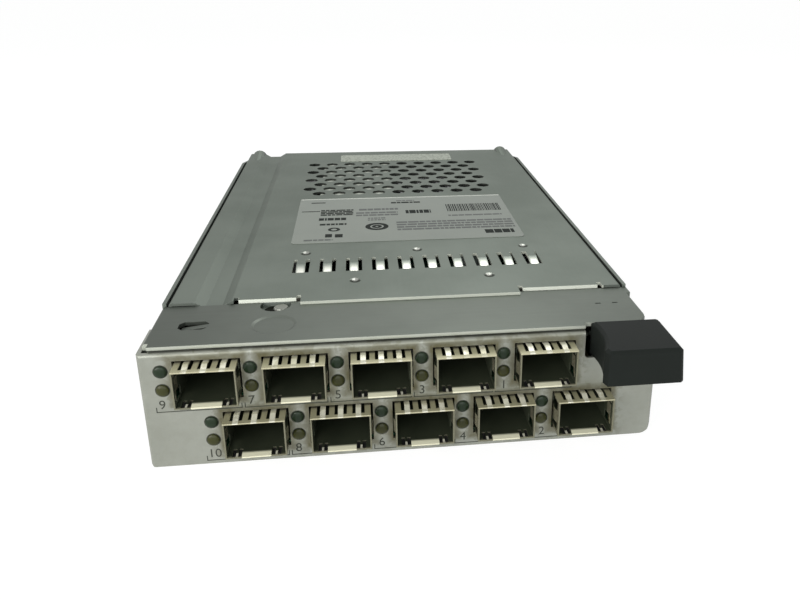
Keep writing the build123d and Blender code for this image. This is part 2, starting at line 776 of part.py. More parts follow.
with BuildPart() as floor_standoffs:
    with BuildSketch(Plane.XY.offset(sheet)) as floor_posts:
        with Locations(*main_screw_spots, *stack_spots):
            RegularPolygon(3.0, 6)
            RegularPolygon(screw_hole_radius, hidden_sides, mode=Mode.SUBTRACT)
    extrude(amount=floor_gap)
save(floor_standoffs.part, "floor_standoffs")

with BuildPart() as stack_standoffs:
    with BuildSketch(Plane.XY.offset(main_board_top)) as stack_posts:
        with Locations(*stack_spots):
            RegularPolygon(2.5, 6)
    extrude(amount=board_spacing)
    with BuildSketch(Plane.XY.offset(main_board_top)) as stack_studs:
        with Locations(*stack_spots):
            RegularPolygon(screw_radius, hidden_sides)
    extrude(amount=0.2 - board_thickness - floor_gap)
    with BuildSketch(Plane.XY.offset(port_board_bottom)) as thread_holes:
        with Locations(*stack_spots):
            RegularPolygon(screw_hole_radius, hidden_sides)
    extrude(amount=-floor_gap - 0.5, mode=Mode.SUBTRACT)
save(stack_standoffs.part, "stacking_standoffs")

# Screws: a capped one for the boards, a countersunk one for the cover
board_screw_length = floor_gap + board_thickness - 0.2
with BuildPart() as board_screw:
    with BuildSketch(Plane.XY) as board_screw_head:
        RegularPolygon(screw_head_radius, hidden_sides)
    extrude(amount=1.5)
    with BuildSketch(Plane.XY) as board_screw_shank:
        RegularPolygon(screw_radius, hidden_sides)
    extrude(amount=-board_screw_length)
with BuildPart() as board_screws:
    with Locations(*[(x, y, main_board_top) for x, y in main_screw_spots]):
        add(board_screw.part)
    with Locations(*[(x, y, port_board_top) for x, y in stack_spots]):
        add(board_screw.part)
save(board_screws.part, "board_screws")

cover_screw_length = sheet + cover_side_gap + cover_sheet + 1.0
sunk_radius = screw_head_radius - 0.1
shank_radius = screw_radius - 0.05
with BuildPart() as cover_screw:
    with BuildSketch(Plane.XY) as sunk_head:
        RegularPolygon(sunk_radius, hidden_sides)
    extrude(amount=-sheet)
    chamfer(cover_screw.faces().sort_by(Axis.Z)[0].edges(), length=sheet - 0.05)
    with BuildSketch(Plane.XY) as cover_screw_shank:
        RegularPolygon(shank_radius, hidden_sides)
    extrude(amount=-cover_screw_length)
with BuildPart() as cover_screws:
    with Locations(*cover_screw_planes):
        add(cover_screw.part)
save(cover_screws.part, "cover_screws")

bracket_sheet = 1.2

# Main chip, heat sink with a comb section, and smaller parts of the main board
sink_x = -4.0
sink_depth = 152.0
sink_width = 62.0
sink_length = 46.0
sink_base = 3.0
sink_top = 27.0
fin_count = 16
fin_thickness = 1.1
chip_size = 35.0
chip_height = 2.6
with BuildPart() as main_chip:
    with BuildSketch(Plane.XY.offset(main_board_top)) as chip_outline:
        with Locations((sink_x, y_at(sink_depth))):
            Rectangle(chip_size, chip_size)
    extrude(amount=chip_height * 0.45)
    with BuildSketch(Plane.XY.offset(main_board_top + chip_height * 0.45)) as chip_lid:
        with Locations((sink_x, y_at(sink_depth))):
            Rectangle(chip_size - 5, chip_size - 5)
    extrude(amount=chip_height * 0.55)
save(main_chip.part, "main_chip")

with BuildPart() as heat_sink:
    with BuildSketch(front_plane(sink_depth + sink_length / 2)) as comb:
        with Locations((sink_x, main_board_top + chip_height)):
            Rectangle(sink_width, sink_base, align=stand)
        fin_pitch = (sink_width - fin_thickness) / (fin_count - 1)
        first_fin = sink_x - sink_width / 2 + fin_thickness / 2
        with Locations(*[(first_fin + i * fin_pitch, main_board_top + chip_height) for i in range(fin_count)]):
            Rectangle(fin_thickness, sink_top - main_board_top - chip_height, align=stand)
    extrude(amount=sink_length)
save(heat_sink.part, "heat_sink")

board_half = main_board_width / 2
board_parts = {
    "retimer_chips": ([((i - 2.2) * main_board_width / 6, 84.0) for i in range(5)], (13.0, 13.0, 2.0)),
    "power_inductors": ([(board_half - 17.0, 132.0 + 12.0 * i) for i in range(3)], (9.0, 9.0, 6.5)),
    "flash_chips": ([(9.5 - board_half, d) for d in (138.0, 154.0)], (8.0, 12.0, 1.4)),
}
for name, (spots, (width, length, height)) in board_parts.items():
    with BuildPart() as chips:
        with BuildSketch(Plane.XY.offset(main_board_top)) as chip_rows:
            with Locations(*[(x, y_at(d)) for x, d in spots]):
                Rectangle(width, length)
        extrude(amount=height)
        chamfer(chips.faces().group_by(Axis.Z)[-1].edges(), length=0.4)
    save(chips.part, name)

with BuildPart() as capacitors:
    with BuildSketch(Plane.XY.offset(main_board_top)) as can_bases:
        with Locations(*[(board_half - 8.0, y_at(d)) for d in (98.0, 108.0)]):
            RegularPolygon(3.6, 2 * hidden_sides)
    extrude(amount=9.0)
save(capacitors.part, "bulk_capacitors")

# Connectors to the midplane: blocks on the board's rear edge that pass the rear wall
slot_rows = 2
slot_columns = 6
for name, (x, width, height) in connectors.items():
    columns = slot_columns if width > power_width else 2
    with BuildPart() as connector:
        with BuildSketch(front_plane(module_depth + connector_proud)) as block:
            with Locations((x, main_board_top)):
                Rectangle(width, height, align=stand)
        extrude(amount=connector_length)
        chamfer(connector.faces().sort_by(Axis.Y)[-1].edges(), length=0.6)
        with BuildSketch(front_plane(module_depth + connector_proud)) as contact_slots:
            with Locations((x, main_board_top + height / 2)):
                with GridLocations((width - 3) / columns, height / slot_rows, columns, slot_rows):
                    Rectangle((width - 3) / columns - 1.6, height / slot_rows - 2.2)
        extrude(amount=5.0, mode=Mode.SUBTRACT)
    save(connector.part, name)

with BuildPart() as guide_sockets:
    with BuildSketch(front_plane(module_depth - sheet - window_gap)) as guide_blocks:
        with Locations(*[(x, main_board_top) for x in guide_x]):
            Rectangle(guide_size, guide_size, align=stand)
    extrude(amount=guide_bore_depth + 2)
    with BuildSketch(front_plane(module_depth - sheet - window_gap)) as guide_bores:
        with Locations(*[(x, main_board_top + guide_size / 2) for x in guide_x]):
            Circle(guide_bore_radius)
    extrude(amount=guide_bore_depth, mode=Mode.SUBTRACT)
save(guide_sockets.part, "guide_sockets")

# Lever bracket: an angle riveted to the right wall, with a shelf under the lever's eye
shelf_left = pivot_x - 10.0
shelf_front = 9.0
leg_start = lever_slot_end + 2.0
leg_bottom = 13.0
wall_inner = wall_outer - sheet
with BuildPart() as bracket:
    with BuildSketch(Plane.XY.offset(shelf_top - bracket_sheet)) as shelf:
        with BuildLine():
            Polyline(
                (shelf_left, y_at(shelf_front)),
                (wall_inner - 0.8, y_at(shelf_front)),
                (wall_inner - 0.8, y_at(leg_start)),
                (wall_inner, y_at(leg_start)),
                (wall_inner, y_at(bracket_end)),
                (shelf_left + 6, y_at(bracket_end)),
                (shelf_left, y_at(bracket_end - 12)),
                close=True,
            )
        make_face()
        with Locations((pivot_x, y_at(pivot_depth))):
            Circle(pin_diameter / 2, mode=Mode.SUBTRACT)
    extrude(amount=bracket_sheet)
    with BuildSketch(Plane.YZ.offset(wall_inner)) as bracket_leg:
        with Locations((y_at(leg_start), leg_bottom)):
            Rectangle(bracket_end - leg_start, shelf_top - leg_bottom, align=low)
    extrude(amount=-bracket_sheet)
save(bracket.part, "lever_bracket")

# Pivot: headed pin pressed in the shelf, a washer under the lever and a clip above it
washer_thickness = arm_bottom - lever_gap - shelf_top
clip_thickness = 0.6
clip_bottom = pivot_eye_top + lever_gap
with BuildPart() as pivot_pin:
    with BuildSketch(Plane.XY.offset(shelf_top - bracket_sheet)) as pin_section:
        with Locations((pivot_x, y_at(pivot_depth))):
            Circle(pin_diameter / 2)
    extrude(amount=clip_bottom + clip_thickness + 0.5 - shelf_top + bracket_sheet)
    with BuildSketch(Plane.XY.offset(shelf_top - bracket_sheet)) as pin_head:
        with Locations((pivot_x, y_at(pivot_depth))):
            RegularPolygon(pin_diameter / 2 + 1.2, repeat_sides)
    extrude(amount=-1.0)
save(pivot_pin.part, "pivot_pin")

rings = {
    "pivot_washer": (shelf_top, washer_thickness, 4.0),
    "pivot_clip": (clip_bottom, clip_thickness, 3.6),
}
for name, (z, thickness, radius) in rings.items():
    with BuildPart() as ring:
        with BuildSketch(Plane.XY.offset(z)) as ring_outline:
            with Locations((pivot_x, y_at(pivot_depth))):
                RegularPolygon(radius, repeat_sides)
                Circle(pin_diameter / 2, mode=Mode.SUBTRACT)
                if name == "pivot_clip":
                    with Locations((0, -radius)):
                        Rectangle(2.0, radius, mode=Mode.SUBTRACT)
        extrude(amount=thickness)
    save(ring.part, name)

# Lever arm: a flat eye on the pin, a tang into the grip and a cam nose towards the side wall
tang_half = 4.2
tang_front = -12.0
tang_wide = 6.0
nose_tip = 1.6
nose_x = pivot_x + (nose_reach - nose_tip) * math.cos(math.radians(nose_angle))
nose_y = y_at(pivot_depth) + (nose_reach - nose_tip) * math.sin(math.radians(nose_angle))
with BuildPart() as lever_arm:
    with BuildSketch(Plane.XY.offset(arm_bottom)) as arm_outline:
        with Locations((pivot_x, y_at(pivot_depth))):
            Circle(eye_radius)
        with Locations((pivot_x - 1.2, y_at(pivot_depth))):
            Rectangle(2 * tang_half, pivot_depth - grip_rear_depth + 1, align=(Align.CENTER, Align.MAX))
        with Locations((pivot_x - 2.0, y_at(grip_rear_depth + 1.2))):
            Rectangle(2 * tang_wide, grip_rear_depth + 1.2 - tang_front, align=(Align.CENTER, Align.MAX))
        with BuildLine():
            Polyline(
                (pivot_x, y_at(pivot_depth)),
                (pivot_x, y_at(pivot_depth - eye_radius - 4)),
                (nose_x, nose_y - nose_tip),
                (nose_x, nose_y),
                close=True,
            )
        make_face()
        with Locations((nose_x, nose_y)):
            Circle(nose_tip)
        with Locations((pivot_x, y_at(pivot_depth))):
            Circle(pin_diameter / 2 + pin_clearance, mode=Mode.SUBTRACT)
    extrude(amount=arm_sheet)
save(lever_arm.part, "lever_arm")

# Ejector grip: a moulded block with a finger scoop on its left, over the arm's tang
grip_right = pivot_x + grip_reach_right
grip_foot = grip_right + grip_draft
grip_top = grip_bottom + grip_height
with BuildPart() as grip:
    with BuildSketch(Plane.XY.offset(grip_bottom)) as grip_plan:
        with BuildLine():
            right_side = Polyline(
                (grip_left + 0.6, y_at(grip_front_depth)),
                (grip_foot, y_at(grip_front_depth)),
                (grip_foot, y_at(grip_rear_depth)),
                (grip_left + 1.1, y_at(grip_rear_depth)),
            )
            ThreePointArc(
                (grip_left + 1.1, y_at(grip_rear_depth)),
                (grip_left + grip_scoop, y_at(-5.0)),
                (grip_left, y_at(grip_front_depth + 2.2)),
            )
            Line(
                (grip_left, y_at(grip_front_depth + 2.2)),
                (grip_left + 0.6, y_at(grip_front_depth)),
            )
        make_face()
    extrude(amount=grip_height)
    # The right side leans in towards the top
    with BuildSketch(front_plane(grip_front_depth)) as grip_lean:
        with BuildLine():
            Polyline(
                (grip_foot, grip_bottom),
                (grip_foot + 1, grip_bottom),
                (grip_foot + 1, grip_top),
                (grip_right, grip_top),
                close=True,
            )
        make_face()
    extrude(amount=grip_front_depth - grip_rear_depth, mode=Mode.SUBTRACT)
    right_side = grip.faces().sort_by(Axis.X)[-1]
    upright_right = right_side.edges().filter_by(lambda edge: edge.length < 2 * grip_height).sort_by(Axis.Y)
    chamfer([upright_right[0], upright_right[-1]], length=0.8)
    chamfer(grip.faces().sort_by(Axis.Z)[-1].edges(), length=0.7)
    with BuildSketch(Plane.XY.offset(arm_bottom)) as tang_pocket:
        with Locations((pivot_x - 2.0, y_at(grip_rear_depth))):
            Rectangle(2 * tang_wide, grip_rear_depth - tang_front, align=(Align.CENTER, Align.MAX))
    extrude(amount=arm_sheet, mode=Mode.SUBTRACT)
save(grip.part, "lever_grip")
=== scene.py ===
# %% [markdown]
# # A ten-port network module
#
# The object is a metal drawer for a rack chassis: ten port cages in two staggered rows, a vented cover
# and an ejector lever. The CAD model gives every solid its place. This lesson gives the solids their
# metals, plastics and films, adds what is printed or too small for the CAD, and lights the module on a
# pale floor. All lengths are in metres, in the CAD model's own frame: +X right, +Y to the rear, +Z up.

# %% Load the frame
import json
import math
import random

import bpy
import bmesh
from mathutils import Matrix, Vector


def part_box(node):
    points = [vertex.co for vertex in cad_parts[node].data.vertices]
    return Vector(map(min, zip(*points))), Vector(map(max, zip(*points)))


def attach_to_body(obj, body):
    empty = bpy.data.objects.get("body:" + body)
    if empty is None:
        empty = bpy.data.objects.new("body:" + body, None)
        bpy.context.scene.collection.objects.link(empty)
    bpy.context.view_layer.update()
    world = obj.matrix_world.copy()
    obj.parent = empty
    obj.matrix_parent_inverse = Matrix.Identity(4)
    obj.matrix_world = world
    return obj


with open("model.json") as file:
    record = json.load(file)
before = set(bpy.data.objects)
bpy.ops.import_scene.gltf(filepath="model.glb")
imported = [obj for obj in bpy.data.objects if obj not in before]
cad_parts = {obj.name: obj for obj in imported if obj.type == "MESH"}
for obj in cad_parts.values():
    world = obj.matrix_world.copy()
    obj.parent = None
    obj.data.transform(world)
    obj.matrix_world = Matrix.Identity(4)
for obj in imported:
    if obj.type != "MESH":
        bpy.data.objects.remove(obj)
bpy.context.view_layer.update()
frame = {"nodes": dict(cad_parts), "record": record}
nodes = frame["nodes"]
MM = 0.001

# %% [markdown]
# ## Places read from the frame
#
# Marks and small parts have to sit on the CAD solids. Their places could all be typed in, but then they
# would stay behind when the CAD changes, so the main ones are measured on the solids' own boxes.

# %% Measure the sheets and labels
face_low, face_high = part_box("faceplate")
cover_low, cover_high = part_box("top_cover")
bridge_low, bridge_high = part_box("front_bridge")
label_low, label_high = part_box("rating_label")
rear_label_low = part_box("rear_strip_label")[0]
tray_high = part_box("chassis_tray")[1]
face_y = face_low[1]
print("faceplate", round((face_high[0] - face_low[0]) / MM, 1), "mm wide")

# %% [markdown]
# A cage's sprung fingers bulge past its walls, and its box holds them too. So the half width and half
# height of the plain sheet are given here, and only the middle and the floor come from the box.

# %% Find the ports
cage_half = (7.2 * MM, 4.8 * MM)
port_centre = {}
for number in range(1, 11):
    low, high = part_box(f"port_cage_{number}")
    port_centre[number] = ((low[0] + high[0]) / 2, low[2] + cage_half[1])
cage_mouth_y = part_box("port_cage_1")[0][1]
port_pitch = port_centre[7][0] - port_centre[9][0]
ports_in_row = 5
print("port 9 centre", [round(v / MM, 2) for v in port_centre[9]], "pitch", round(port_pitch / MM, 2))


# %% [markdown]
# ## Tools for shader trees
#
# A shader tree can be wired node by node, but that soon hides what it says. These tools make one step a
# line of its own. `new_group` starts a node group with named sockets. A group puts out only masks and
# values, and `new_material` keeps the one Principled shader in the material itself.

# %% Start a group or a node
def new_group(name, inputs, outputs):
    """A shader node group with float inputs {name: default} and the named float outputs."""
    group = bpy.data.node_groups.new(name, "ShaderNodeTree")
    for label, default in inputs.items():
        socket = group.interface.new_socket(label, in_out="INPUT", socket_type="NodeSocketFloat")
        socket.default_value = default
    for label in outputs:
        group.interface.new_socket(label, in_out="OUTPUT", socket_type="NodeSocketFloat")
    start = group.nodes.new("NodeGroupInput")
    end = group.nodes.new("NodeGroupOutput")
    return group, start, end


def new_node(tree, kind, **values):
    """A node of that kind, with its properties and its unlinked inputs set by name."""
    node = tree.nodes.new(kind)
    for name, value in values.items():
        if name in node.inputs:
            node.inputs[name].default_value = value
        else:
            setattr(node, name, value)
    return node


print("program version", bpy.app.version_string)


# %% [markdown]
# The Principled shader covers metal, plastic and film alike, so each material here has just that one,
# and `grouped` places a shared group beside it with the material's own values.

# %% Start a material and place a group in it
def grouped(material, group, **values):
    """The group's node in a material, its inputs set by name."""
    node = new_node(material.node_tree, "ShaderNodeGroup", node_tree=group)
    for name, value in values.items():
        node.inputs[name].default_value = value
    return node


def new_material(name, color, metallic=0.0, roughness=0.5, **sockets):
    """A material with one Principled shader, and that shader."""
    material = bpy.data.materials.new(name)
    material.use_nodes = True
    tree = material.node_tree
    tree.nodes.clear()
    output = tree.nodes.new("ShaderNodeOutputMaterial")
    shader = tree.nodes.new("ShaderNodeBsdfPrincipled")
    shader.inputs["Base Color"].default_value = (*color, 1.0)
    shader.inputs["Metallic"].default_value = metallic
    shader.inputs["Roughness"].default_value = roughness
    for label, value in sockets.items():
        shader.inputs[label.replace("_", " ")].default_value = value
    tree.links.new(shader.outputs["BSDF"], output.inputs["Surface"])
    return material, shader


print("materials at the start:", len(bpy.data.materials))


# %% [markdown]
# Wear and dirt need masks: numbers from 0 to 1 that say where a mark is. A painted picture could hold
# them, but a mask worked out from places stays sharp from near and follows the sizes of the part.
# `calc` is one Math node, and `times`, `within` and `ramp` are the sums that come back again and again.

# %% Sums for masks
def calc(tree, operation, *terms):
    """The output of one Math node whose terms are numbers or sockets."""
    node = new_node(tree, "ShaderNodeMath", operation=operation)
    for socket, term in zip(node.inputs, terms):
        if isinstance(term, (int, float)):
            socket.default_value = term
        else:
            tree.links.new(term, socket)
    return node.outputs[0]


def times(tree, *masks):
    """The product of masks: high only where all of them are."""
    product = masks[0]
    for mask in masks[1:]:
        product = calc(tree, "MULTIPLY", product, mask)
    return product


def within(tree, value, middle, reach):
    """1 where a value lies less than reach from the middle."""
    away = calc(tree, "ABSOLUTE", calc(tree, "SUBTRACT", value, middle))
    return calc(tree, "LESS_THAN", away, reach)


def ramp(tree, value, start, stop, low=0.0, high=1.0):
    """A value that goes smoothly from low to high while another goes from start to stop."""
    node = new_node(tree, "ShaderNodeMapRange", interpolation_type="SMOOTHSTEP")
    node.inputs["From Min"].default_value = start
    node.inputs["From Max"].default_value = stop
    node.inputs["To Min"].default_value = low
    node.inputs["To Max"].default_value = high
    tree.links.new(value, node.inputs["Value"])
    return node.outputs["Result"]


print("a millimetre is", MM, "in these sums")


# %% [markdown]
# A mask begins with a place. Object coordinates of a CAD node are its places in the CAD frame, so a
# number from the drawing can be used as it is. Ports, fingers and strips stand in even rows, and
# `from_nearest` folds such a row into one.

# %% Places for masks
def place(tree, output="Object"):
    """X, Y and Z of a point on the part, or with "Normal" of the way that its surface faces."""
    spot = new_node(tree, "ShaderNodeTexCoord")
    parts = new_node(tree, "ShaderNodeSeparateXYZ")
    tree.links.new(spot.outputs[output], parts.inputs["Vector"])
    return parts.outputs


def from_nearest(tree, value, first, pitch, count):
    """How far a value is from the nearest of an even row of places, with its sign."""
    from_first = calc(tree, "SUBTRACT", value, first)
    step = calc(tree, "ROUND", calc(tree, "DIVIDE", from_first, pitch))
    step = calc(tree, "MAXIMUM", calc(tree, "MINIMUM", step, count - 1), 0.0)
    return calc(tree, "SUBTRACT", from_first, calc(tree, "MULTIPLY", step, pitch))


print("rows of", ports_in_row, "ports, folded into one port")


# %% [markdown]
# A mark lies over the finish that is there already. Each one could be a shader of its own, mixed in by a
# Mix Shader, but one shader with mixed colours is easier to read and bakes well. So `overlay` mixes a
# second colour, and where wanted a second roughness, over what the shader has now.

# %% Lay marks over a finish
def mix_in(tree, socket, mask, value):
    """Mixes a value over what a shader's socket has now, where the mask is high."""
    is_color = isinstance(value, tuple)
    node = new_node(tree, "ShaderNodeMix", data_type="RGBA" if is_color else "FLOAT")
    below, above = (node.inputs[6], node.inputs[7]) if is_color else (node.inputs[2], node.inputs[3])
    if socket.is_linked:
        tree.links.new(socket.links[0].from_socket, below)
    else:
        below.default_value = socket.default_value
    above.default_value = (*value, 1.0) if is_color else value
    tree.links.new(mask, node.inputs[0])
    tree.links.new(node.outputs[2 if is_color else 0], socket)


def overlay(material, mask, color, roughness=None):
    """Lays a second colour, and a second roughness if there is one, over a material by a mask."""
    tree = material.node_tree
    shader = tree.nodes["Principled BSDF"]
    mix_in(tree, shader.inputs["Base Color"], mask, color)
    if roughness is not None:
        mix_in(tree, shader.inputs["Roughness"], mask, roughness)


def set_metal(material, mask, metallic):
    """Makes a material more or less metallic where the mask is high."""
    tree = material.node_tree
    mix_in(tree, tree.nodes["Principled BSDF"].inputs["Metallic"], mask, metallic)


print("marks are laid over a finish in the order in which they are written")


# %% [markdown]
# ## Masks that many finishes share
#
# **Rolled grain.** Sheet metal keeps fine lines from the rolls, and cloudy marks from hands. A wave
# pattern would be too even, so a noise is squeezed along one axis until its spots become lines, and a
# broad noise gives the clouds. The two groups differ only in the way that the lines run.

# %% Build the grain groups
def grain_group(name, squeezed):
    """Masks for metal: fine lines along the axis that squeezed makes short, and cloudy marks."""
    group, start, end = new_group(name, {"Fine": 700.0, "Broad": 28.0}, ("Grain", "Cloud"))
    links = group.links
    spot = new_node(group, "ShaderNodeTexCoord")
    squeeze = new_node(group, "ShaderNodeMapping", Scale=squeezed)
    fine = new_node(group, "ShaderNodeTexNoise", Detail=3.0, Roughness=0.6)
    cloud = new_node(group, "ShaderNodeTexNoise", Detail=5.0, Roughness=0.6)
    links.new(spot.outputs["Object"], squeeze.inputs["Vector"])
    links.new(squeeze.outputs["Vector"], fine.inputs["Vector"])
    links.new(spot.outputs["Object"], cloud.inputs["Vector"])
    links.new(start.outputs["Fine"], fine.inputs["Scale"])
    links.new(start.outputs["Broad"], cloud.inputs["Scale"])
    links.new(fine.outputs["Fac"], end.inputs["Grain"])
    links.new(ramp(group, cloud.outputs["Fac"], 0.3, 0.7), end.inputs["Cloud"])
    return group


grain_across = grain_group("Grain Across", (0.06, 1.0, 1.0))
grain_along = grain_group("Grain Along", (1.0, 0.06, 1.0))
print("grain groups:", grain_across.name, "and", grain_along.name)


# %% [markdown]
# **Place at a port.** Each port has the same marks round it. Ten masks could be added up, but one group
# does it at once: it finds the nearest port, and gives a point's place from that port's centre.

# %% Build the port group
def port_group():
    """A point's place from its nearest port: Across, Up and Behind the mouth, in metres."""
    group, _, end = new_group("Port Place", {}, ("Across", "Up", "Behind"))
    x, y, z = place(group)
    top_x, top_z = port_centre[9]
    low_x, low_z = port_centre[10]
    in_lower_row = calc(group, "LESS_THAN", z, (top_z + low_z) / 2)
    first_x = calc(group, "MULTIPLY_ADD", in_lower_row, low_x - top_x, top_x)
    row_z = calc(group, "MULTIPLY_ADD", in_lower_row, low_z - top_z, top_z)
    across = from_nearest(group, x, first_x, port_pitch, ports_in_row)
    group.links.new(across, end.inputs["Across"])
    group.links.new(calc(group, "SUBTRACT", z, row_z), end.inputs["Up"])
    group.links.new(calc(group, "SUBTRACT", y, cage_mouth_y), end.inputs["Behind"])
    return group


port_place = port_group()
print("port group outputs:", [item.name for item in port_place.interface.items_tree])


# %% [markdown]
# **Fine mottle.** Moulded plastic has a faint grain from its mould, and so do label films. Modelled
# bumps would be far too many, so a smooth cell pattern gives their height. A slow noise shifts the
# shade a little from place to place, and a quick one gives specks.

# %% Build the mottle group
def mottle_group():
    """A fine mottled height, a slower mask, and sharp specks."""
    group, start, end = new_group("Mottle", {"Scale": 1500.0}, ("Height", "Slow", "Specks"))
    links = group.links
    spot = new_node(group, "ShaderNodeTexCoord")
    fine = new_node(group, "ShaderNodeTexVoronoi", feature="SMOOTH_F1")
    slow = new_node(group, "ShaderNodeTexNoise", Scale=60.0, Detail=3.0)
    speck = new_node(group, "ShaderNodeTexNoise", Scale=950.0, Detail=2.0)
    for texture in (fine, slow, speck):
        links.new(spot.outputs["Object"], texture.inputs["Vector"])
    links.new(start.outputs["Scale"], fine.inputs["Scale"])
    links.new(fine.outputs["Distance"], end.inputs["Height"])
    links.new(slow.outputs["Fac"], end.inputs["Slow"])
    links.new(ramp(group, speck.outputs["Fac"], 0.50, 0.66), end.inputs["Specks"])
    return group


mottle = mottle_group()
print("groups:", [group.name for group in bpy.data.node_groups])


# %% [markdown]
# ## Metals
#
# The sheets are zinc-plated steel, dull and a little green. A flat colour would look like paint. So each
# metal goes between two shades by the clouds, and its roughness follows the grain. Real cut edges are
# slightly round and catch the light, and the Bevel node gives that without more faces.

# %% Make a sheet metal
def two_shades(tree, shader, mask, dark, light):
    """Base Color goes from dark to light with a mask."""
    shades = new_node(tree, "ShaderNodeMix", data_type="RGBA")
    shades.inputs[6].default_value = (*dark, 1.0)
    shades.inputs[7].default_value = (*light, 1.0)
    tree.links.new(mask, shades.inputs[0])
    tree.links.new(shades.outputs[2], shader.inputs["Base Color"])


def soft_surface(tree, shader, height, bump, depth, edge):
    """Softly rounded edges, with a fine bump over them."""
    rounded = new_node(tree, "ShaderNodeBevel", samples=4, Radius=edge)
    bumps = new_node(tree, "ShaderNodeBump", Strength=bump, Distance=depth)
    tree.links.new(height, bumps.inputs["Height"])
    tree.links.new(rounded.outputs["Normal"], bumps.inputs["Normal"])
    tree.links.new(bumps.outputs["Normal"], shader.inputs["Normal"])


def metal(name, dark, light, grain, roughness, metallic, edge=0.12 * MM, fine=700.0, broad=28.0, glint=1.0):
    """Sheet metal with grain, handling marks and soft edges. A low glint dims it at low angles."""
    material, shader = new_material(name, light, metallic=metallic, roughness=roughness[0])
    shader.inputs["Specular Tint"].default_value = (glint, glint, glint, 1.0)
    tree = material.node_tree
    masks = grouped(material, grain, Fine=fine, Broad=broad)
    two_shades(tree, shader, masks.outputs["Cloud"], dark, light)
    worn = ramp(tree, masks.outputs["Grain"], 0.3, 0.7, *roughness)
    tree.links.new(worn, shader.inputs["Roughness"])
    soft_surface(tree, shader, masks.outputs["Grain"], 0.05, 0.01 * MM, edge)
    return material


plated = metal(
    "plated_sheet", (0.155, 0.176, 0.155), (0.19, 0.212, 0.188), grain_along, (0.40, 0.44), 0.85, glint=0.5,
)
# The bridge's sheet is a darker copy of the plated sheet: painted shade.
bridge_metal = metal(
    "bridge_sheet", (0.128, 0.143, 0.124), (0.155, 0.173, 0.150), grain_across, (0.38, 0.42), 0.8, glint=0.6,
)
cover_metal = metal(
    "cover_sheet", (0.172, 0.196, 0.171), (0.208, 0.234, 0.206), grain_along, (0.40, 0.43), 0.85, glint=0.4,
)
faced = metal(
    "face_sheet", (0.265, 0.275, 0.240), (0.315, 0.325, 0.288), grain_across, (0.38, 0.48), 0.6, broad=45.0,
)
print("sheets:", [material.name for material in (plated, bridge_metal, cover_metal, faced)])

# %% [markdown]
# Screws, standoffs and the lever's pin are bright zinc, the heat sink is bare aluminium, and the blades
# in the rear connectors are gilt. They are small or hidden, so the same recipe with other shades serves.

# %% Screws, heat sink and contact blades
steel = metal("fastener_steel", (0.38, 0.38, 0.36), (0.52, 0.52, 0.5), grain_along, (0.25, 0.4), 0.9)
aluminium = metal("bare_aluminium", (0.48, 0.49, 0.50), (0.6, 0.61, 0.62), grain_along, (0.3, 0.42), 0.9)
gold = metal("contact_gold", (0.55, 0.38, 0.12), (0.72, 0.52, 0.2), grain_along, (0.2, 0.3), 1.0)
print("metals:", len(bpy.data.materials))

# %% [markdown]
# ### Grime and painted shade on the faceplate
#
# Plugs and fingers leave brown grime round each cage, and the same mask paints the shade that the cages
# cast on the faceplate round them. Smaller stains lie farther out. Noise alone would put dirt anywhere.
# So each mask falls off with the distance from the nearest cage, and the noise only breaks it up.

# %% Grime, painted shade and stains round the ports
face_tree = faced.node_tree
spot = grouped(faced, port_place)
beside = calc(face_tree, "SUBTRACT", calc(face_tree, "ABSOLUTE", spot.outputs["Across"]), cage_half[0])
above = calc(face_tree, "SUBTRACT", calc(face_tree, "ABSOLUTE", spot.outputs["Up"]), cage_half[1])
from_cage = calc(face_tree, "MAXIMUM", beside, above)
grime_and_shade_reach = (0.8 * MM, 2.9 * MM)
grime_and_shade_clouds = grouped(faced, grain_across, Fine=300.0, Broad=160.0).outputs["Cloud"]
patchy = calc(face_tree, "MULTIPLY_ADD", grime_and_shade_clouds, 0.65, 0.45)
# Brown grime and painted shade in one mask, strongest next to each cage.
grime_and_shade = times(face_tree, ramp(face_tree, from_cage, *grime_and_shade_reach, 1.0, 0.0), patchy)
overlay(faced, grime_and_shade, (0.112, 0.104, 0.058), 0.55)
stain_reach = (1.0 * MM, 5.0 * MM)
stain_clouds = grouped(faced, grain_across, Fine=900.0, Broad=420.0).outputs["Cloud"]
blots = ramp(face_tree, stain_clouds, 0.46, 0.66)
stains = times(face_tree, ramp(face_tree, from_cage, *stain_reach, 0.6, 0.05), blots)
overlay(faced, stains, (0.15, 0.145, 0.105))
print("grime reaches", round(grime_and_shade_reach[1] / MM, 1), "mm, stains", round(stain_reach[1] / MM, 1), "mm")

# %% [markdown]
# ### The cages
#
# Each cage is bent from thin spring sheet, yellower than the case. Its marks could be cut into the mesh
# as more faces, but all are flat and all repeat, so masks in the port's own places draw them.

# %% The spring sheet
cage_metal = metal(
    "cage_metal", (0.20, 0.19, 0.13), (0.31, 0.295, 0.21), grain_across, (0.26, 0.38), 0.55,
    edge=0.06 * MM, fine=1400.0, broad=160.0, glint=0.55,
)
cage_tree = cage_metal.node_tree
across, up, behind = grouped(cage_metal, port_place).outputs
print("cage sheet", [round(2 * half / MM, 1) for half in cage_half], "mm outside")
